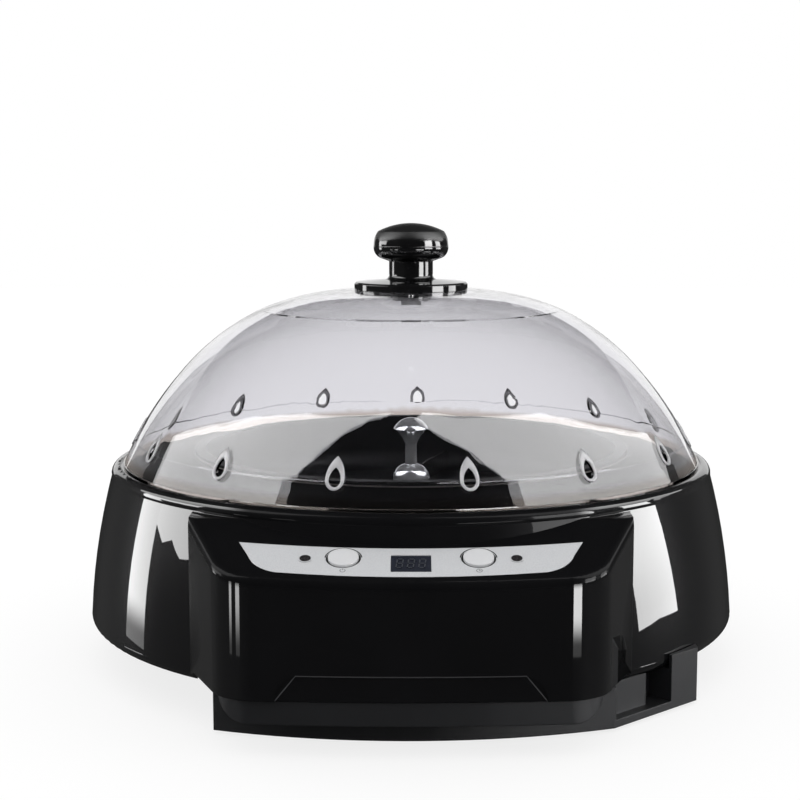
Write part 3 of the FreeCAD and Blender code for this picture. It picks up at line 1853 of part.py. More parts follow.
strap_foot_top = flange_top + dim.strap_sheet
add_pad(motor_screws, "XY_Plane", circles(strap_screw_places, dim.screw_head), strap_foot_top,
        dim.screw_head_thickness)
add_pad(motor_screws, "XY_Plane", circles(strap_screw_places, dim.screw_core),
        strap_foot_top - dim.motor_screw_grip, dim.motor_screw_grip)


# ---- Stirrer ----

hub_bottom = pan_floor + dim.hub_lift
hub_top = hub_bottom + dim.hub_height
blade_bottom = hub_bottom + dim.blade_floor_gap
blade_low = pan_floor + dim.blade_floor_gap
blade_slot = dim.blade_thickness + dim.running_gap * 2
blade_root = shaft_bore + dim.blade_root_wall
pin_slot = dim.drive_pin_radius + dim.button_clearance

hub = prism("stirrer_hub", "XY_Plane", ring(dim.hub_radius, shaft_bore), hub_bottom, dim.hub_height)
add_pocket(
    hub,
    "YZ_Plane",
    [
        box_outline(
            -pin_slot, pin_slot, hub_bottom - pin_slot, drive_pin_height + pin_slot
        )
    ],
    -dim.hub_radius,
    dim.hub_radius * 2,
)
for side in (1, -1):
    low, high = sorted((side * blade_root, side * dim.hub_radius * 2), key=float)
    add_pocket(
        hub,
        "XY_Plane",
        [box_outline(-blade_slot / 2, blade_slot / 2, low, high)],
        blade_bottom,
        hub_top - blade_bottom,
    )
add_node(hub, "stirrer_hub")


def blade(name, side, reach):
    # A flat steel arm that leaves the hub along Y and sweeps back beyond its bend. Past the
    # bush it drops down to skim the pan floor.
    half = dim.blade_thickness / 2
    sweep = (reach - dim.blade_bend) * sine(dim.blade_sweep)
    run = dim.blade_bend + (reach - dim.blade_bend) * cosine(dim.blade_sweep)

    def outline(root):
        return [
            (-side * half, side * root),
            (side * half, side * root),
            (side * half, side * dim.blade_bend),
            (side * (sweep + half), side * run),
            (side * (sweep - half), side * run),
            (-side * half, side * dim.blade_bend),
        ]

    arm = prism(name, "XY_Plane", [outline(blade_root)], blade_bottom, hub_top - blade_bottom)
    add_pad(arm, "XY_Plane", [outline(dim.blade_drop_start)], blade_low, hub_top - blade_low)
    return add_node(arm, name)


blade("long_stirring_blade", 1, dim.pan_inner_radius - dim.blade_wall_gap)
blade("short_stirring_blade", -1, dim.short_blade_reach)

finial_bottom = hub_top
finial_head = (dim.finial_head_radius, finial_bottom + dim.finial_head_rise)
add_node(
    turned(
        "stirrer_finial",
        [
            (shaft_bore, finial_bottom),
            (dim.finial_base_radius, finial_bottom),
            (
                dim.finial_neck_radius,
                finial_bottom + dim.finial_base_height,
                dim.finial_base_radius * 0.78,
                finial_bottom + dim.finial_base_height * 0.68,
            ),
            (dim.finial_waist_radius, finial_bottom + dim.finial_waist_rise),
            finial_head
            + (
                dim.finial_head_radius * 0.72,
                finial_bottom + dim.finial_waist_rise * 0.3 + dim.finial_head_rise * 0.7,
            ),
            cap_to_axis(finial_head, finial_bottom + dim.finial_height),
            (as_size(0), shaft_top + dim.button_clearance),
            (shaft_bore, shaft_top + dim.button_clearance),
        ],
    ),
    "stirrer_finial",
)


# ---- Lid ----


def lid_inside(radius, rise, lean):
    # The inner station opposite an outer one, one wall in along the normal.
    return (
        radius - dim.lid_wall * cosine(lean),
        lid_foot + rise - dim.lid_wall * sine(lean),
    )


def lid_outside(radius, rise):
    return radius, lid_foot + rise


lid_stations = {
    "skirt": (dim.lid_skirt_radius, dim.lid_skirt_rise, dim.lid_skirt_lean),
    "lower": (dim.lid_lower_radius, dim.lid_lower_rise, dim.lid_lower_lean),
    "shoulder": (dim.lid_shoulder_radius, dim.lid_shoulder_rise, dim.lid_shoulder_lean),
    "upper": (dim.lid_upper_radius, dim.lid_upper_rise, dim.lid_upper_lean),
    "crown_edge": (dim.lid_crown_edge_radius, dim.lid_crown_edge_rise, dim.lid_crown_edge_lean),
    "crown": (dim.lid_crown_radius, dim.lid_crown_mid_rise, dim.lid_crown_lean),
}
out = {name: lid_outside(radius, rise) for name, (radius, rise, _) in lid_stations.items()}
inside = {name: lid_inside(*station) for name, station in lid_stations.items()}
knob_bore = dim.screw_radius + dim.running_gap
crown_inside = crown - dim.lid_wall
foot_inner = dim.lid_foot_radius - dim.lid_wall

dome = turned(
    "dome_cover",
    [
        (dim.lid_foot_radius, lid_foot),
        (dim.lid_foot_radius, lid_foot + dim.lid_band),
        (dim.lid_foot_radius - dim.lid_bead, lid_foot + dim.lid_band),
        out["skirt"],
        out["shoulder"] + out["lower"],
        out["crown_edge"] + out["upper"],
        (dim.lid_flat_radius, crown) + out["crown"],
        (knob_bore, crown),
        (knob_bore, crown_inside),
        (dim.lid_flat_radius, crown_inside),
        inside["crown_edge"] + inside["crown"],
        inside["shoulder"] + inside["upper"],
        inside["skirt"] + inside["lower"],
        (inside["skirt"][0] - dim.lid_bead, lid_foot + dim.lid_skirt_rise - dim.lid_bead),
        (foot_inner, lid_foot),
    ],
)
vent_half = dim.vent_width / 2
vent_bottom = lid_foot + dim.vent_rise - dim.vent_length / 2 + vent_half
vent_tip = lid_foot + dim.vent_rise + dim.vent_length / 2
vent_flank = vent_half * 0.72
vent_flank_height = vent_bottom + (vent_tip - vent_bottom) * 0.5
lid_vent = add_pocket(
    dome,
    "XZ_Plane",
    [
        [
            (vent_half, vent_bottom, as_size(0), vent_bottom - vent_half),
            (as_size(0), vent_tip, vent_flank, vent_flank_height),
            (-vent_half, vent_bottom, -vent_flank, vent_flank_height),
        ]
    ],
    dim.lid_upper_radius,
    dim.lid_foot_radius - dim.lid_upper_radius,
)
add_polar(dome, lid_vent, dim.vent_count)
lid_angle = 180 / dim.vent_count - dim.lid_turn
crown_vent = add_pocket(
    dome,
    "XY_Plane",
    circles(
        [(dim.crown_vent_radius * cosine(lid_angle), -dim.crown_vent_radius * sine(lid_angle))],
        dim.crown_vent_bore,
    ),
    crown - dim.lid_wall * 2,
    dim.lid_wall * 3,
)
add_polar(dome, crown_vent, dim.crown_vent_count)
place(dome, 0, 0, 0, Vector(0, 0, 1), lid_angle)
add_node(dome, "dome_cover")

insert_bore = dim.insert_radius + dim.running_gap
knob_rim = dim.knob_flange_height * 0.8
knob_shoulder = (dim.knob_shoulder_radius, crown + dim.knob_shoulder_rise)
add_node(
    turned(
        "lid_knob",
        [
            (insert_bore, crown),
            (dim.knob_flange_radius, crown),
            (dim.knob_flange_radius, crown + knob_rim),
            (dim.knob_flange_radius - dim.knob_flange_height + knob_rim, crown + dim.knob_flange_height),
            (dim.knob_flare_radius, crown + dim.knob_flange_height * 1.3),
            (
                dim.knob_neck_radius,
                crown + dim.knob_neck_base,
                dim.knob_neck_radius + (dim.knob_flare_radius - dim.knob_neck_radius) * 0.25,
                crown + dim.knob_flange_height * 1.5,
            ),
            (dim.knob_neck_radius, crown + dim.knob_neck_top),
            (dim.knob_under_radius, crown + dim.knob_under_rise),
            (
                dim.knob_radius,
                crown + dim.knob_widest,
                dim.knob_under_radius * 0.2 + dim.knob_radius * 0.8,
                crown + dim.knob_under_rise * 0.6 + dim.knob_widest * 0.4,
            ),
            knob_shoulder
            + (
                dim.knob_radius * 0.82 + dim.knob_shoulder_radius * 0.18,
                crown + (dim.knob_widest + dim.knob_shoulder_rise) / 2,
            ),
            cap_to_axis(knob_shoulder, crown + dim.knob_height),
            (as_size(0), crown + dim.insert_depth),
            (insert_bore, crown + dim.insert_depth),
        ],
    ),
    "lid_knob",
)
add_node(
    prism("knob_insert", "XY_Plane", ring(dim.insert_radius, knob_bore), crown, dim.insert_depth),
    "knob_insert",
)
washer_bottom = crown_inside - dim.washer_thickness
add_node(
    prism("knob_washer", "XY_Plane", ring(dim.washer_radius, knob_bore), washer_bottom,
          dim.washer_thickness),
    "knob_washer",
)
knob_screw = prism(
    "knob_screw", "XY_Plane", disc(dim.screw_head_radius), washer_bottom - dim.screw_head_height,
    dim.screw_head_height,
)
add_pad(knob_screw, "XY_Plane", disc(dim.screw_radius), washer_bottom,
        crown + dim.insert_depth * 0.8 - washer_bottom)
add_node(knob_screw, "knob_screw")


# ---- Power board and cord gland ----

board_low = plate_top + dim.power_board_lift
board_high = board_low + dim.board_thickness
standoff_inset = dim.standoff_radius * 1.5
standoff_places = [
    (side * (dim.power_board_half_width - standoff_inset), depth)
    for side in (-1, 1)
    for depth in (dim.power_board_near + standoff_inset, dim.power_board_far - standoff_inset)
]
power_board = prism(
    "power_board",
    "XY_Plane",
    [
        box_outline(
            -dim.power_board_half_width,
            dim.power_board_half_width,
            dim.power_board_near,
            dim.power_board_far,
        )
    ],
    board_low,
    dim.board_thickness,
)
add_pocket(power_board, "XY_Plane", circles(standoff_places, dim.screw_core + dim.running_gap),
           board_low, dim.board_thickness)
add_node(power_board, "power_board")
standoffs = prism(
    "power_board_standoffs", "XY_Plane", circles(standoff_places, dim.standoff_radius), plate_top,
    dim.power_board_lift,
)
add_pocket(standoffs, "XY_Plane", circles(standoff_places, dim.screw_core), plate_top + dim.screw_core,
           dim.power_board_lift - dim.screw_core)
add_node(standoffs, "power_board_standoffs")
screws(
    "power_board_screws", standoff_places, board_high, -1,
    dim.screw_core, dim.screw_head * 0.8, dim.screw_head_thickness,
    dim.board_thickness + dim.power_board_lift / 2,
)


def component(name, x, width, depth, tall):
    # A block-shaped part soldered on the power board.
    middle = (dim.power_board_near + dim.power_board_far) / 2
    outline = box_outline(x - width / 2, x + width / 2, middle - depth / 2, middle + depth / 2)
    return add_node(prism(name, "XY_Plane", [outline], board_high, tall), name)


component("board_transformer", -dim.transformer_place, dim.transformer_width,
          dim.transformer_depth, dim.transformer_height)
component("board_relay", dim.relay_place, dim.relay_width, dim.relay_depth, dim.relay_height)
capacitor_y = (dim.power_board_near + dim.power_board_far) / 2
capacitor_places = [
    (dim.capacitor_place, capacitor_y - dim.capacitor_radius * 1.3),
    (dim.capacitor_place, capacitor_y + dim.capacitor_radius * 1.3),
]
add_node(
    prism("board_capacitors", "XY_Plane", circles(capacitor_places, dim.capacitor_radius), board_high,
          dim.capacitor_height),
    "board_capacitors",
)

lip_start = dim.base_wall + dim.running_gap
gland = turned(
    "cord_gland",
    [
        (dim.gland_bore, dim.gland_flange_thickness),
        (dim.gland_bore, -lip_start - dim.gland_inside),
        (dim.gland_radius, -lip_start - dim.gland_inside),
        (dim.gland_radius + dim.screw_core / 2, -lip_start - dim.gland_inside / 3),
        (dim.gland_radius + dim.screw_core / 2, -lip_start),
        (dim.gland_radius, -lip_start),
        (dim.gland_radius, as_size(0)),
        (dim.gland_flange, as_size(0)),
        (dim.gland_flange - dim.running_gap * 10, dim.gland_flange_thickness),
    ],
)
place(gland, -dim.gland_place, dim.plinth_back, dim.gland_height, Vector(1, 0, 0), -90)
add_node(gland, "cord_gland")


# ---- Check and write ----

doc.recompute()
for item in doc.Objects:
    if "Invalid" in item.State or "Error" in item.State:
        raise RuntimeError(f"{item.Label} did not compute: {item.State}")
for pocket in cuts:
    before = pocket.BaseFeature.Shape.Volume
    if pocket.Shape.Volume > before - 1e-3:
        raise RuntimeError(f"{pocket.Name} cuts nothing")
for node in nodes:
    if node.Shape.isNull() or not node.Shape.isValid():
        raise RuntimeError(f"{node.Label} is not a valid solid")

os.makedirs("parts", exist_ok=True)
for node in nodes:
    node.Shape.exportStep(f"parts/{node.Label}.step")
print(f"{len(nodes)} sub-parts written")
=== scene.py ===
import json
import math

import bpy
import numpy as np
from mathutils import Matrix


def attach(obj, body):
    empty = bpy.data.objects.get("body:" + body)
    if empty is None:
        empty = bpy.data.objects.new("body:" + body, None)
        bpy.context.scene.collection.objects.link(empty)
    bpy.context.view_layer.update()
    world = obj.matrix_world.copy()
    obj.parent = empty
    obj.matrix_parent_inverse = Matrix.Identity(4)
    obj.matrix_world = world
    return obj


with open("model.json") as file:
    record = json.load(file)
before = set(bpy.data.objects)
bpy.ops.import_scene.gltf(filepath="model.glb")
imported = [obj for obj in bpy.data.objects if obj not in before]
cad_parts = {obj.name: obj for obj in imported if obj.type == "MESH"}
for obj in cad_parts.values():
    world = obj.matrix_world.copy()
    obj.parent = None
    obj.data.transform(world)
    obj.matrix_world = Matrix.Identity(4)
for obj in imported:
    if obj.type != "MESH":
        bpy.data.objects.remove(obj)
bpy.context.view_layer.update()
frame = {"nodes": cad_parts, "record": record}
print("frame loaded")


view = {
    "cameraPlace": (0.0, -0.7932, 0.2283),
    "pitchDown": 7.46,
    "lens": 71.44,
    "sideShift": -0.01375,
}
camera = bpy.data.cameras.new("camera")
camera.lens = view["lens"]
camera.sensor_width = 36
camera.shift_x = view["sideShift"]
camera.clip_start = 0.01
cameraObject = bpy.data.objects.new("camera", camera)
cameraObject.location = view["cameraPlace"]
cameraObject.rotation_euler = (math.radians(90 - view["pitchDown"]), 0, 0)
bpy.context.scene.collection.objects.link(cameraObject)
bpy.context.scene.camera = cameraObject
bpy.context.scene.view_settings.view_transform = "Standard"


class Socket:
    # A node's output; each sum on it adds a Math node.
    def __init__(self, nodes, socket):
        self.nodes = nodes
        self.socket = socket

    def math(self, operation, *values):
        inputs = dict(enumerate((self,) + values))
        return self.nodes.add("Math", {"operation": operation}, inputs)

    def __add__(self, other):
        return self.math("ADD", other)

    def __sub__(self, other):
        return self.math("SUBTRACT", other)

    def __mul__(self, other):
        return self.math("MULTIPLY", other)

    def __radd__(self, other):
        return self.math("ADD", other)

    def __rsub__(self, other):
        return self.nodes.add("Math", {"operation": "SUBTRACT"}, {0: other, 1: self})

    def __rmul__(self, other):
        return self.math("MULTIPLY", other)

    def ramp(self, low, high):
        # 0 below low, 1 above high, smooth between them
        settings = {"interpolation_type": "SMOOTHSTEP"}
        inputs = {"Value": self, "From Min": low, "From Max": high}
        return self.nodes.add("MapRange", settings, inputs)


class Nodes:
    # The node tree of one material or world, with one method that adds any node.
    def __init__(self, tree):
        self.tree = tree
        tree.nodes.clear()

    def plug(self, value, target):
        if isinstance(value, Socket):
            self.tree.links.new(value.socket, target)
        else:
            target.default_value = value

    def add(self, kind, settings=None, inputs=None, output=0):
        node = self.tree.nodes.new("ShaderNode" + kind)
        for name, value in (settings or {}).items():
            setattr(node, name, value)
        for name, value in (inputs or {}).items():
            self.plug(value, node.inputs[name])
        return Socket(self, node.outputs[output])

    def place(self, stretch=(1, 1, 1)):
        # the point on the piece, stretched along its axes
        point = self.add("TexCoord", None, None, "Object")
        return self.add("VectorMath", {"operation": "MULTIPLY"}, {0: point, 1: stretch})

    def axes(self):
        parts = self.add("TexCoord", None, None, "Object")
        node = self.tree.nodes.new("ShaderNodeSeparateXYZ")
        self.plug(parts, node.inputs[0])
        return [Socket(self, output) for output in node.outputs]

    def noise(self, scale, detail=3, stretch=(1, 1, 1), roughness=0.55):
        inputs = {
            "Vector": self.place(stretch), "Scale": scale, "Detail": detail, "Roughness": roughness,
        }
        return self.add("TexNoise", None, inputs)

    def cells(self, scale):
        return self.add("TexVoronoi", None, {"Vector": self.place(), "Scale": scale}, "Distance")

    def blend(self, mask, first, second):
        # first where the mask is 0, second where it is 1
        node = self.tree.nodes.new("ShaderNodeMix")
        node.data_type = "RGBA"
        colors = [socket for socket in node.inputs if socket.type == "RGBA"]
        self.plug(mask, node.inputs[0])
        for value, target in zip((first, second), colors):
            self.plug(value if isinstance(value, Socket) else (*value, 1), target)
        return Socket(self, next(socket for socket in node.outputs if socket.type == "RGBA"))

    def bump(self, height, depth, softEdge=0.0):
        # a relief of the given depth, on edges rounded by softEdge
        inputs = {"Height": height, "Distance": depth, "Strength": 1.0}
        if softEdge:
            inputs["Normal"] = self.add("Bevel", {"samples": 4}, {"Radius": softEdge})
        return self.add("Bump", None, inputs)

    def finish(self, shader, target="Material"):
        output = self.tree.nodes.new("ShaderNodeOutput" + target)
        self.tree.links.new(shader.socket, output.inputs["Surface"])


def newMaterial(name, build):
    # build(nodes) returns the Principled inputs
    material = bpy.data.materials.new(name)
    material.use_nodes = True
    nodes = Nodes(material.node_tree)
    nodes.finish(nodes.add("BsdfPrincipled", None, build(nodes)))
    return material


def gridMesh(name, points, closeRows=False, closeColumns=False):
    # Joins a (rows, columns, 3) array into quads, wrapping round where asked.
    rows, columns = points.shape[:2]
    index = np.arange(rows * columns).reshape(rows, columns)
    if closeRows:
        index = np.vstack([index, index[:1]])
    if closeColumns:
        index = np.hstack([index, index[:, :1]])
    quads = np.stack([index[:-1, :-1], index[:-1, 1:], index[1:, 1:], index[1:, :-1]], axis=-1)
    return meshPiece(name, points.reshape(-1, 3), quads.reshape(-1, 4))


def meshPiece(name, points, faces):
    mesh = bpy.data.meshes.new(name)
    mesh.from_pydata(points.tolist(), [], faces.tolist())
    mesh.validate()
    mesh.shade_smooth()
    piece = bpy.data.objects.new(name, mesh)
    bpy.context.scene.collection.objects.link(piece)
    return piece


def circleThrough(first, middle, last, count):
    # Points of the arc through three points, evenly spaced in angle round its centre, which is
    # where the lines halfway between the points and square to their joins meet.
    (ax, ay), (bx, by), (cx, cy) = first, middle, last
    side = 2 * (ax * (by - cy) + bx * (cy - ay) + cx * (ay - by))
    squares = [ax * ax + ay * ay, bx * bx + by * by, cx * cx + cy * cy]
    ux = (squares[0] * (by - cy) + squares[1] * (cy - ay) + squares[2] * (ay - by)) / side
    uy = (squares[0] * (cx - bx) + squares[1] * (ax - cx) + squares[2] * (bx - ax)) / side
    angles = np.unwrap([math.atan2(y - uy, x - ux) for x, y in (first, middle, last)])
    turn = np.linspace(angles[0], angles[2], count)
    radius = math.hypot(ax - ux, ay - uy)
    return np.stack([ux + radius * np.cos(turn), uy + radius * np.sin(turn)], axis=-1)


def joinPieces(name, pieces):
    # One piece from several, each a closed shell of its own.
    points = []
    faces = []
    start = 0
    for piece in pieces:
        mesh = piece.data
        coords = np.empty(len(mesh.vertices) * 3)
        mesh.vertices.foreach_get("co", coords)
        corners = np.empty(len(mesh.loops), int)
        mesh.loops.foreach_get("vertex_index", corners)
        points.append(coords.reshape(-1, 3))
        faces.append(corners.reshape(-1, 4) + start)
        start += len(mesh.vertices)
        bpy.data.objects.remove(piece)
    return meshPiece(name, np.vstack(points), np.vstack(faces))


# Floor, dark room and light cards. A card is a patch of a far sphere between two lines of
# directions; each is an angle round from +X towards +Y and an angle up, both in degrees.
studio = {
    "roomRadius": 7.0,
    "cardRadius": 6.0,
    "middle": 0.1,
    "roomAhead": 0.03,
    "roomAside": 0.07,
    "roomShades": (2.4, 5.6),
    "roomGrid": (61, 41),
    "cardGrid": (33, 9),
    "floorReach": 3.0,
    "floorDrop": 0.0002,
    "floorGlow": 0.8,
    "floorColor": 0.22,
    "worldGlow": 1.0,
}
cards = {
    "overheadLeft": {
        "near": [(-112, 67.5), (-124, 64.5), (-133, 58), (-139, 50), (-142, 44), (-148, 35),
                 (-158, 27), (-170, 21), (-182, 16), (-194, 12), (-204, 11), (-211, 13)],
        "far": [(-105, 69), (-113, 68.5), (-132, 65), (-146, 61.5), (-162, 57), (-174, 51),
                (-186, 43.5), (-193.5, 37), (-202, 30), (-209, 24), (-215, 18.5)],
        "radiance": (3.0, 5.6), "rise": (14, 40), "inGlass": True,
    },
    "overheadRight": {
        "near": [(-88, 67.5), (-76, 63), (-66, 58.5), (-57, 53.5), (-50, 46), (-42, 38),
                 (-34, 31), (-20, 24), (-6, 18), (8, 13), (20, 11), (33, 13)],
        "far": [(-80, 69.5), (-70, 69), (-49, 65), (-35, 62), (-19, 57), (-5, 51.3),
                (5, 43.5), (12, 37), (21, 30), (28.5, 24), (35.5, 19)],
        "radiance": (3.0, 5.6), "rise": (14, 40), "inGlass": True,
    },
    "sideLeft": {
        "near": [(-193, -12), (-205, -12)],
        "far": [(-193, 12), (-205, 12)],
        "radiance": (1.5, 8.4), "rise": (-11, -7),
    },
    "sideLeftFront": {
        "near": [(-172, 3), (-178, 2), (-183, 3.4), (-188, 2), (-193, 3)],
        "far": [(-172, 17), (-178, 16), (-183, 15), (-188, 13), (-193, 12)],
        "radiance": (9.0, 9.0), "rise": (0, 1),
    },
    "sideRight": {
        "near": [(-7, -7.6), (3, -7.2), (13.5, -7.8)],
        "far": [(-9, 16), (0, 14), (8.5, 12)],
        "radiance": (11.0, 14.0), "rise": (-6, 6),
    },
    "frontRight": {
        "near": [(-46, -6), (-22, -6)],
        "far": [(-46, 22), (-22, 22)],
        "radiance": (16.0, 20.0), "rise": (-6, 10),
    },
    "cornerRight": {
        "near": [(-73.4, -16.6), (-50, -16.6)],
        "far": [(-73.4, -10), (-50, -10)],
        "radiance": (1.0, 16.0), "rise": (-16.2, -15.0),
    },
    "cornerLeft": {
        "near": [(-132, -16.6), (-141, -16.6)],
        "far": [(-132, -10), (-141, -10)],
        "radiance": (0.8, 9.0), "rise": (-16.4, -14.2),
    },
    "cornerLeftSide": {
        "near": [(-151, -16.6), (-157, -16.6)],
        "far": [(-151, -10), (-157, -10)],
        "radiance": (0.8, 8.0), "rise": (-16.4, -14.2),
    },
}


def shownRays(nodes):
    # 1 for what the camera sees, straight or in gloss and glass
    kinds = ("Is Camera Ray", "Is Glossy Ray", "Is Transmission Ray")
    rays = [nodes.add("LightPath", None, None, kind) for kind in kinds]
    return (rays[0] + rays[1] + rays[2]).math("MINIMUM", 1.0)


def paleFloor(nodes):
    # Pale grey with a glow of its own for the rays that are shown, so it keeps only the shadow.
    return {
        "Base Color": (studio["floorColor"],) * 3 + (1,),
        "Roughness": 1.0,
        "Specular IOR Level": 0.0,
        "Emission Color": (1, 1, 1, 1),
        "Emission Strength": shownRays(nodes) * studio["floorGlow"],
    }


def directions(turn, rise, radius):
    # Points at a radius from the middle of the object, from angles round and up in degrees.
    turn, rise = np.radians(turn), np.radians(rise)
    points = [np.cos(turn) * np.cos(rise), np.sin(turn) * np.cos(rise), np.sin(rise)]
    return np.stack(points, axis=-1) * radius + (0, 0, studio["middle"])


def glossOnly(piece, material, inGlass):
    # Shown in gloss, and in glass where asked, and nowhere else.
    piece.data.materials.append(material)
    piece.visible_transmission = inGlass
    for ray in ("camera", "diffuse", "volume_scatter", "shadow"):
        setattr(piece, "visible_" + ray, False)


def cardGlow(card):
    # Its radiance goes from the first value to the second as the card rises.
    def build(nodes):
        rises = np.radians(card["rise"])
        low, high = (np.sin(rises) * studio["cardRadius"]).tolist()
        climb = (nodes.axes()[2] - studio["middle"]).ramp(low, high)
        first, second = card["radiance"]
        return {
            "Base Color": (0, 0, 0, 1),
            "Specular IOR Level": 0.0,
            "Emission Color": nodes.blend(climb, (first,) * 3, (second,) * 3),
            "Emission Strength": 1.0,
        }

    return build


floorLine = np.linspace(-studio["floorReach"], studio["floorReach"], 3)
floorX, floorY = np.meshgrid(floorLine, floorLine)
floorZ = np.full_like(floorX, -studio["floorDrop"])
floor = gridMesh("floor", np.stack([floorX, floorY, floorZ], axis=-1))
floor.data.materials.append(newMaterial("paleFloor", paleFloor))
floor.visible_glossy = False

columnCount, rowCount = studio["cardGrid"]
columns = np.linspace(0, 1, columnCount)
across = np.linspace(0, 1, rowCount)[:, None]
for name, card in cards.items():
    lines = []
    for line in (card["near"], card["far"]):
        knots = np.linspace(0, 1, len(line))
        lines.append([np.interp(columns, knots, angle) for angle in zip(*line)])
    near, far = (np.array(line)[:, None] for line in lines)
    turn, rise = near + (far - near) * across
    piece = gridMesh(name, directions(turn, rise, studio["cardRadius"]))
    glossOnly(piece, newMaterial(name, cardGlow(card)), card.get("inGlass", False))


def roomGlow(nodes):
    # Nearly black ahead of the object and a little lighter to its sides.
    aside = nodes.axes()[0].math("ABSOLUTE").ramp(*studio["roomShades"])
    ahead, beside = studio["roomAhead"], studio["roomAhead"] + studio["roomAside"]
    return {
        "Base Color": (0, 0, 0, 1),
        "Roughness": 1.0,
        "Specular IOR Level": 0.0,
        "Emission Color": nodes.blend(aside, (ahead,) * 3, (beside,) * 3),
        "Emission Strength": 1.0,
    }


# The room is open towards the back, where the white behind the object shows. Each part of it has
# its angles round, its angles up and whether glass shows it.
rooms = {
    "darkRoom": ((-222, 42), (-80, 89), True),
    "darkRoomBack": ((42, 138), (20, 89), True),
    "darkRoomBackFoot": ((42, 138), (-80, -1), False),
    "darkRoomBackRight": ((42, 60), (-1, 20), False),
    "darkRoomBackLeft": ((120, 138), (-1, 20), False),
}
roomMaterial = newMaterial("darkRoom", roomGlow)
turnCount, riseCount = studio["roomGrid"]
for name, (turns, rises, inGlass) in rooms.items():
    turn, rise = np.meshgrid(np.linspace(*turns, turnCount), np.linspace(*rises, riseCount))
    piece = gridMesh(name, directions(turn, rise, studio["roomRadius"]))
    glossOnly(piece, roomMaterial, inGlass)

world = bpy.data.worlds.new("studio")
world.use_nodes = True
bpy.context.scene.world = world
worldNodes = Nodes(world.node_tree)
white = {"Color": (1, 1, 1, 1), "Strength": studio["worldGlow"]}
worldNodes.finish(worldNodes.add("Background", None, white), "World")
print("camera, floor and light")


# The sloping control panel, in metres and degrees.
panel = {
    "front": -0.1725,
    "height": 0.0756,
    "tilt": 19.5,
    "rise": 0.0138,
    "buttonSpread": 0.0276,
    "lampSpread": 0.0432,
    "windowRise": 0.010,
    "markDrop": 0.0092,
    "lift": 0.00006,
}
# Where the body's black changes, in metres. Each pair is where a change begins and ends.
black = {
    "shoulderDepth": (0.0022, 0.0052),
    "shoulderBack": (-0.132, -0.124),
    "deckRadius": (0.1395, 0.1415),
    "deckTop": (0.0925, 0.094),
    # The arch keys place a thin painted highlight along the edge of the arch in the block's front.
    "archTop": 0.035,
    "archHalf": 0.0466,
    "archFall": 1.244,
    "archEnd": (0.0548, 0.0554),
    "archFront": (-0.169, -0.168),
    "archHighlightWidth": (0.0002, 0.0005),
    "archHighlightColor": (0.07, 0.07, 0.073),
    "low": (0.0045, 0.0045, 0.005),
    "high": (0.007, 0.007, 0.0078),
}


def blackGloss(nodes):
    # Polished black plastic; the deck under the lid and the shoulder round the control panel are a
    # plain moulded satin. The shoulder is what lies close under the panel's plane.
    x, y, z = nodes.axes()
    slope = math.tan(math.radians(panel["tilt"]))
    below = (y - panel["front"]) * slope + panel["height"] - z
    behind = y.ramp(*black["shoulderBack"])
    offShoulder = below.ramp(*black["shoulderDepth"]).math("MAXIMUM", behind)
    radius = (x * x + y * y).math("SQRT")
    offDeck = radius.ramp(*black["deckRadius"]) - z.ramp(*black["deckTop"]) + 1.0
    polished = offDeck.math("MINIMUM", 1.0).math("MAXIMUM", 0.0)
    haze = nodes.noise(38, 4)
    # The edge of the low arch in the block's front: level, then down at both ends. A painted
    # highlight line runs along it.
    across = x.math("ABSOLUTE")
    past = (across - black["archHalf"]).math("MAXIMUM", 0.0)
    archEdge = black["archTop"] - past * black["archFall"]
    offArchHighlight = (z - archEdge).math("ABSOLUTE").ramp(*black["archHighlightWidth"])
    offFront = y.ramp(*black["archFront"]).math("MAXIMUM", across.ramp(*black["archEnd"]))
    plain = nodes.blend(haze, black["low"], black["high"])
    return {
        # Painted highlight: a light line along the arch's edge, on the block's front only.
        "Base Color": nodes.blend(offArchHighlight.math("MAXIMUM", offFront), black["archHighlightColor"], plain),
        "Roughness": 0.72 - polished * 0.44 + haze * 0.05,
        "Specular IOR Level": 0.02,
        "Coat Weight": polished * offShoulder * 0.92 + 0.08,
        "Coat Roughness": 0.018,
        "Coat IOR": 1.5,
        "Normal": nodes.bump(nodes.noise(160, 2), 0.000006, 0.0004),
    }


knob = {"top": (0.2035, 0.2075), "partingHeight": 0.2017, "partingLine": (0.0001, 0.00035)}


def knobGloss(nodes):
    # Polished black plastic with the mould's parting line round the widest place and a duller top.
    z = nodes.axes()[2]
    top = z.ramp(*knob["top"])
    line = 1 - (z - knob["partingHeight"]).math("ABSOLUTE").ramp(*knob["partingLine"])
    patches = nodes.noise(60)
    return {
        "Base Color": nodes.blend(patches, (0.0045, 0.0045, 0.005), (0.0075, 0.0075, 0.008)),
        "Roughness": 0.035 + nodes.noise(50, 4) * 0.03 + top * 0.4,
        "Normal": nodes.bump(line + nodes.noise(220, 2) * 0.04, 0.0001, 0.0006),
    }


def charcoalSatin(nodes):
    # Fine spark-eroded texture on dark grey plastic.
    grain = nodes.noise(1500, 3)
    patches = nodes.noise(24, 4)
    return {
        "Base Color": nodes.blend(patches, (0.0125, 0.0128, 0.0145), (0.0185, 0.019, 0.021)),
        "Roughness": 0.36 + grain * 0.14,
        "Specular IOR Level": 0.26,
        "Normal": nodes.bump(grain, 0.00003, 0.0007),
    }


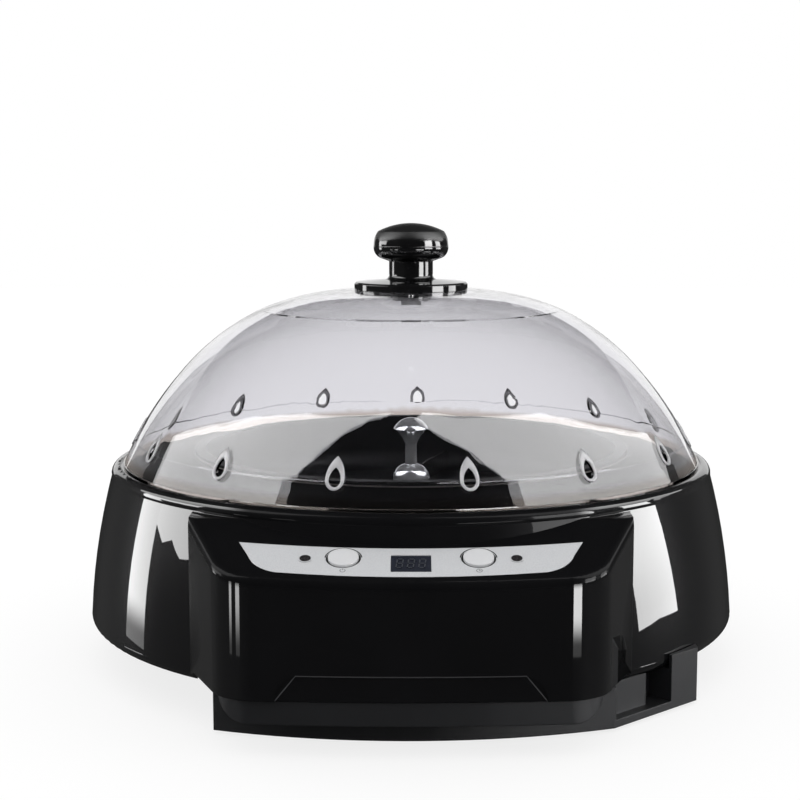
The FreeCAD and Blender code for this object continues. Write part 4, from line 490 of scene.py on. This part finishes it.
# The dome lid and the bezels round its vents, in metres. The step and the arc are places on its
# outer profile, as (radius, height over the foot).
lid = {
    "foot": 0.0955,
    "footBand": (0.0985, 0.1025),
    "step": ((0.1432, 0.0), (0.1427, 0.0014)),
    "arc": ((0.1374, 0.0118), (0.1286, 0.0264), (0.115, 0.044)),
    "arcPoints": 40,
    "count": 15,
    "firstTurn": 10.4,
    "hole": {"half": 0.00265, "middle": 0.1076, "tip": 0.1128},
    "edge": {"half": 0.0042, "middle": 0.1079, "tip": 0.1172},
    "relief": (
        (0.0, -0.0004), (0.0, 0.0003), (0.18, 0.0006),
        (0.82, 0.0006), (1.0, 0.0002), (1.0, -0.0004),
    ),
}


def clearLid(nodes):
    # Clear moulded plastic, faintly mauve, with a brownish tint in a band round its foot.
    z = nodes.axes()[2]
    foot = 1 - z.ramp(*lid["footBand"])
    wave = nodes.noise(9, 2)
    return {
        "Base Color": nodes.blend(foot, (0.91, 0.905, 0.931), (0.62, 0.56, 0.52)),
        "Roughness": nodes.noise(30, 4).ramp(0.5, 0.95) * 0.03,
        "Transmission Weight": 1.0,
        "IOR": 1.49,
        "Normal": nodes.bump(wave, 0.0003, 0.0),
    }


def paintedVentHighlight(nodes):
    # Clear plastic made near white, which lets part of the light through: the white is a painted
    # highlight round the vents' edges.
    return {
        "Base Color": nodes.blend(nodes.noise(200), (0.86, 0.86, 0.87), (0.76, 0.75, 0.78)),
        "Roughness": 0.2,
        "Transmission Weight": 0.45,
        "IOR": 1.49,
    }


def silverFascia(nodes):
    # Pale silver paint with fine flake.
    flake = nodes.cells(2600)
    fleck = flake.ramp(0.15, 0.75)
    return {
        "Base Color": nodes.blend(fleck, (0.76, 0.77, 0.785), (0.665, 0.675, 0.695)),
        "Roughness": 0.3 + flake * 0.12,
        "Metallic": 0.12,
        "Normal": nodes.bump(nodes.noise(700, 2), 0.000008, 0.0005),
    }


def buttonSilver(nodes):
    # Smooth pale plastic, a little brighter than the fascia.
    return {
        "Base Color": nodes.blend(nodes.noise(300), (0.77, 0.775, 0.785), (0.71, 0.715, 0.73)),
        "Roughness": 0.26 + nodes.noise(90) * 0.08,
        "Normal": nodes.bump(nodes.noise(900, 2), 0.000006, 0.0006),
    }


def smokedWindow(nodes):
    # Dark blue-grey plastic with a random tone, made a little lighter to the right as painted
    # light.
    shade = nodes.noise(120) + nodes.axes()[0] * 4
    return {
        "Base Color": nodes.blend(shade, (0.016, 0.018, 0.026), (0.03, 0.034, 0.048)),
        "Roughness": 0.05 + nodes.noise(60) * 0.05,
        "Normal": nodes.bump(nodes.noise(80), 0.000004, 0.0004),
    }


def grained(
    color, other, roughness, metallic=0.0, grain=600, depth=0.00001, edge=0.0003, stretch=(1, 1, 1)
):
    # Two close colours, broken up by a fine grain that also lifts the surface.
    def build(nodes):
        fine = nodes.noise(grain, 3, stretch)
        return {
            "Base Color": nodes.blend(nodes.noise(grain / 9, 4, stretch), color, other),
            "Roughness": roughness - 0.06 + fine * 0.12,
            "Metallic": metallic,
            "Normal": nodes.bump(fine, depth, edge),
        }

    return build


def turnedMetal(color, other, roughness, pitch):
    # Fine rings round the shaft, as the lathe leaves them.
    def build(nodes):
        x, y, z = nodes.axes()
        rings = ((x * x + y * y).math("SQRT") * pitch + z * pitch).math("SINE")
        return {
            "Base Color": nodes.blend(nodes.noise(90, 4), color, other),
            "Roughness": roughness + nodes.noise(400) * 0.1,
            "Metallic": 1.0,
            "Normal": nodes.bump(rings, 0.000004, 0.0003),
        }

    return build


def panCoating(nodes):
    # Non-stick coating: near black with fine pale flecks and spun rings.
    x, y, _ = nodes.axes()
    rings = ((x * x + y * y).math("SQRT") * 5200).math("SINE")
    fleck = 1 - nodes.cells(900).ramp(0.08, 0.16)
    return {
        "Base Color": nodes.blend(fleck, (0.006, 0.0063, 0.008), (0.035, 0.035, 0.039)),
        "Roughness": 0.42 + nodes.noise(260) * 0.16,
        "Specular IOR Level": 0.2,
        "Normal": nodes.bump(nodes.noise(1100) + rings * 0.3, 0.00001, 0.0005),
    }


def circuitBoard(nodes):
    # Green solder mask over copper tracks.
    inputs = {
        "Vector": nodes.place(), "Scale": 190.0, "Mortar Size": 0.035, "Bias": 0.0,
        "Color1": (0, 0, 0, 1), "Color2": (0, 0, 0, 1), "Mortar": (1, 1, 1, 1),
    }
    tracks = nodes.add("TexBrick", {"offset": 0.37, "squash": 1.6}, inputs, "Fac")
    return {
        "Base Color": nodes.blend(tracks, (0.012, 0.11, 0.05), (0.035, 0.24, 0.1)),
        "Roughness": 0.3 + nodes.noise(300) * 0.1,
        "Normal": nodes.bump(tracks, 0.00004, 0.0002),
    }


def copperWinding(nodes):
    # Enamelled wire laid side by side. Its colour is dark between the turns and light on their
    # crowns, a painted shade and highlight, and the same wave lifts the surface.
    z = nodes.axes()[2]
    turnsShadeAndRelief = (z * 9000).math("SINE")
    return {
        "Base Color": nodes.blend(turnsShadeAndRelief * 0.5 + 0.5, (0.33, 0.12, 0.05), (0.68, 0.31, 0.15)),
        "Roughness": 0.28,
        "Metallic": 0.9,
        "Normal": nodes.bump(turnsShadeAndRelief, 0.00015, 0.0),
    }


def lampLens(nodes):
    # Dark smoked plastic over a fine faceted grain.
    facets = nodes.cells(1500)
    return {
        "Base Color": nodes.blend(facets, (0.045, 0.04, 0.04), (0.012, 0.012, 0.014)),
        "Roughness": 0.16,
        "Normal": nodes.bump(facets, 0.00006, 0.0003),
    }


finishes = {
    "black_gloss": newMaterial("blackGloss", blackGloss),
    "charcoal": newMaterial("charcoalSatin", charcoalSatin),
    "clear_lid": newMaterial("clearLid", clearLid),
    "silver_fascia": newMaterial("silverFascia", silverFascia),
    "smoked_window": newMaterial("smokedWindow", smokedWindow),
    "black_satin": newMaterial("blackSatin", grained(
        (0.012, 0.012, 0.013), (0.02, 0.02, 0.021), 0.42)),
    "button_silver": newMaterial("buttonSilver", buttonSilver),
    "lens_clear": newMaterial("lampLens", lampLens),
    "lamp_red": newMaterial("lampRed", grained(
        (0.42, 0.03, 0.02), (0.55, 0.06, 0.04), 0.25)),
    "circuit_board": newMaterial("circuitBoard", circuitBoard),
    "white_plastic": newMaterial("whitePlastic", grained(
        (0.66, 0.65, 0.61), (0.74, 0.73, 0.7), 0.4)),
    "black_component": newMaterial("blackComponent", grained(
        (0.014, 0.014, 0.014), (0.028, 0.028, 0.027), 0.5)),
    "brass": newMaterial("turnedBrass", turnedMetal(
        (0.72, 0.5, 0.2), (0.8, 0.6, 0.3), 0.22, 16000)),
    "copper": newMaterial("copperWinding", copperWinding),
    "screw_steel": newMaterial("screwSteel", turnedMetal(
        (0.5, 0.5, 0.5), (0.64, 0.64, 0.65), 0.24, 14000)),
    "steel_sheet": newMaterial("steelSheet", grained(
        (0.46, 0.46, 0.47), (0.6, 0.6, 0.61), 0.34, 1.0, 420, 0.000008, 0.0003, (1, 14, 1))),
    "stirrer_steel": newMaterial("stirrerSteel", grained(
        (0.5, 0.5, 0.5), (0.68, 0.68, 0.68), 0.24, 1.0, 300, 0.000006, 0.0003, (16, 1, 16))),
    "chrome": newMaterial("polishedSteel", grained(
        (0.52, 0.53, 0.54), (0.6, 0.61, 0.62), 0.1, 0.6, 180, 0.000002)),
    "pan_coating": newMaterial("panCoating", panCoating),
    "element_steel": newMaterial("elementSteel", grained(
        (0.12, 0.09, 0.07), (0.26, 0.22, 0.2), 0.42, 1.0, 150)),
    "magnet": newMaterial("magnet", grained(
        (0.05, 0.05, 0.055), (0.09, 0.09, 0.095), 0.5, 0.3)),
    "silicone": newMaterial("silicone", grained(
        (0.2, 0.185, 0.175), (0.28, 0.26, 0.25), 0.6)),
    "foot_rubber": newMaterial("footRubber", grained(
        (0.012, 0.012, 0.012), (0.02, 0.02, 0.02), 0.72, 0.0, 900, 0.00003, 0.0005)),
}
for part in frame["record"]["subparts"]:
    node = frame["nodes"][part["node"]]
    node.data.materials.clear()
    node.data.materials.append(finishes[part["material_slot"]])
frame["nodes"]["lid_knob"].data.materials[0] = newMaterial("knobGloss", knobGloss)
print("finishes on the frame")


def dress(piece, body, material):
    # The piece gets its finish and moves with its body.
    piece.data.materials.append(material)
    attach(piece, body)


lidProfile = np.vstack([lid["step"], circleThrough(*lid["arc"], lid["arcPoints"])])


def lidRadius(height):
    # The lid's outer radius at a height, along its profile.
    return np.interp(height - lid["foot"], lidProfile[:, 1], lidProfile[:, 0])


def ventOutline(half, middle, tip):
    # Half a circle below its middle, and two arcs above that meet in a point at the tip.
    turn = np.linspace(math.pi, 2 * math.pi, 25)
    under = np.stack([half * np.cos(turn), middle + half * np.sin(turn)], axis=-1)
    flank = (half * 0.78, middle + (tip - middle) * 0.52)
    rising = circleThrough((half, middle), flank, (0.0, tip), 14)[1:]
    falling = rising[-2::-1] * (-1, 1)
    return np.vstack([under, rising, falling])


def onLid(outline, turnFromFront, lift):
    # Lays an outline on the lid and turns it round the shaft's axis.
    across, height = outline[:, 0], outline[:, 1]
    reach = np.sqrt(lidRadius(height) ** 2 - across ** 2) + lift
    turn = math.radians(turnFromFront)
    x = across * math.cos(turn) + reach * math.sin(turn)
    y = across * math.sin(turn) - reach * math.cos(turn)
    return np.stack([x, y, height], axis=-1)


def bezel(name, turnFromFront):
    # A closed ring between the hole's outline and the outer one: each line of it is a share of the
    # way outward and a height off the lid.
    hole, edge = (ventOutline(**lid[line]) for line in ("hole", "edge"))
    lines = [
        onLid(hole + (edge - hole) * share, turnFromFront, lift) for share, lift in lid["relief"]
    ]
    return gridMesh(name, np.stack(lines, axis=1), True, True)


bezels = [
    bezel(f"bezel{number}", lid["firstTurn"] + 360 / lid["count"] * number)
    for number in range(lid["count"])
]
# The bezels' white is a painted highlight round the vent holes.
dress(joinPieces("ventBezels", bezels), "lid", newMaterial("paintedVentHighlight", paintedVentHighlight))
print("vent bezels")


def onPanel(points, lift):
    # x stays across, the second value runs up the slope, and lift is off the panel.
    tilt = math.radians(panel["tilt"])
    up = points[..., 1]
    return np.stack([
        points[..., 0],
        panel["front"] + up * math.cos(tilt) - lift * math.sin(tilt),
        panel["height"] + up * math.sin(tilt) + lift * math.cos(tilt),
    ], axis=-1)


def stroke(name, path, width, lift, closed=False):
    # A flat band along a path: each point moved half the width to either side.
    path = np.asarray(path, float)
    if closed:
        ahead = np.roll(path, -1, axis=0) - np.roll(path, 1, axis=0)
    else:
        ahead = np.gradient(path, axis=0)
    ahead /= np.linalg.norm(ahead, axis=1, keepdims=True)
    side = np.stack([-ahead[:, 1], ahead[:, 0]], axis=-1) * width / 2
    return gridMesh(name, onPanel(np.stack([path + side, path - side], axis=1), lift), closed)


def arcPath(center, radius, start, end, count=24):
    # Points at a radius round a centre, evenly spaced between two angles in degrees.
    turn = np.radians(np.linspace(start, end, count))
    return np.stack([center[0] + radius * np.cos(turn), center[1] + radius * np.sin(turn)], axis=-1)


# Signs printed under the buttons and beside the lamps, in metres and degrees.
ink = {
    "powerRadius": 0.00105,
    "powerTurns": (125, 415),
    "powerBar": (0.0003, 0.0015),
    "powerWidth": 0.00034,
    "clockRadius": 0.00115,
    "clockTurns": (0, 345),
    "clockHand": 0.0008,
    "clockReach": (-0.0001, 0.0006),
    "clockWidth": 0.0003,
    "lampRadius": 0.0031,
    "lampTurns": (215, 325),
    "lampWidth": 0.00026,
}
leftX, rightX = -panel["buttonSpread"], panel["buttonSpread"]
markY = panel["rise"] - panel["markDrop"]
barFoot, barTop = (markY + rise for rise in ink["powerBar"])
reachFrom, reachTo = (rightX + reach for reach in ink["clockReach"])
powerRing = arcPath((leftX, markY), ink["powerRadius"], *ink["powerTurns"])
clockRing = arcPath((rightX, markY), ink["clockRadius"], *ink["clockTurns"], 30)
signs = [
    ("powerRing", powerRing, ink["powerWidth"], False),
    ("powerBar", [(leftX, barFoot), (leftX, barTop)], ink["powerWidth"], False),
    ("clockRing", clockRing, ink["clockWidth"], True),
    ("clockHand", [(rightX, markY), (rightX, markY + ink["clockHand"])], ink["clockWidth"], False),
    ("clockReach", [(reachFrom, markY), (reachTo, markY)], ink["clockWidth"], False),
]
for name, across in (("lampLeft", -panel["lampSpread"]), ("lampRight", panel["lampSpread"])):
    path = arcPath((across, panel["rise"]), ink["lampRadius"], *ink["lampTurns"])
    signs.append((name, path, ink["lampWidth"], False))
marks = [stroke(name, path, width, panel["lift"], closed) for name, path, width, closed in signs]

# A shadow gap round each button and a thin dark line above it. The dark ring sunk in the gap is
# painted shade, and the line is a painted shadow.
gap = {
    "radius": 0.00675,
    "width": 0.0007,
    "lift": -0.0003,
    "shadeRadius": 0.0075,
    "shadeTurns": (4, 176),
    "shadeWidth": 0.00045,
}
gaps = []
for name, across in (("power", leftX), ("timer", rightX)):
    middle = (across, panel["rise"])
    ring = arcPath(middle, gap["radius"], 0, 356, 90)
    shade = arcPath(middle, gap["shadeRadius"], *gap["shadeTurns"], 45)
    gaps.append(stroke(name + "Gap", ring, gap["width"], gap["lift"], True))
    gaps.append(stroke(name + "Shade", shade, gap["shadeWidth"], panel["lift"]))
gapShade = newMaterial("paintedButtonShade", grained((0.006, 0.006, 0.007), (0.012, 0.012, 0.013), 0.6))
dress(joinPieces("paintedButtonShades", gaps), "housing", gapShade)
printInk = newMaterial("printedInk", grained((0.16, 0.165, 0.175), (0.24, 0.245, 0.255), 0.5))
dress(joinPieces("panelMarks", marks), "housing", printInk)

# Unlit segments that just show through the dark window, in metres.
display = {
    "digits": 3,
    "pitch": 0.0046,
    "width": 0.0024,
    "height": 0.0062,
    "bar": 0.00052,
    "lean": 0.1,
    "gapShare": 0.75,
    "lift": 0.0001,
}
halfX, halfY = display["width"] / 2, display["height"] / 2
lean, spare = display["lean"], display["bar"] * display["gapShare"]
segments = []
for digit in range(display["digits"]):
    centerX = (digit - (display["digits"] - 1) / 2) * display["pitch"]
    for height in (-halfY, 0.0, halfY):
        shift = centerX + height * lean
        segments.append([(shift - halfX + spare, height), (shift + halfX - spare, height)])
    for across in (-halfX, halfX):
        for low, high in ((-halfY + spare, -spare), (spare, halfY - spare)):
            shift = centerX + across
            segments.append([(shift + low * lean, low), (shift + high * lean, high)])
paths = np.array(segments) + (0, panel["windowRise"])
bars = [
    stroke(f"bar{number}", path, display["bar"], display["lift"])
    for number, path in enumerate(paths)
]
ghost = newMaterial("unlitSegment", grained((0.05, 0.055, 0.066), (0.075, 0.08, 0.092), 0.3))
dress(joinPieces("displaySegments", bars), "housing", ghost)
print("panel marks")
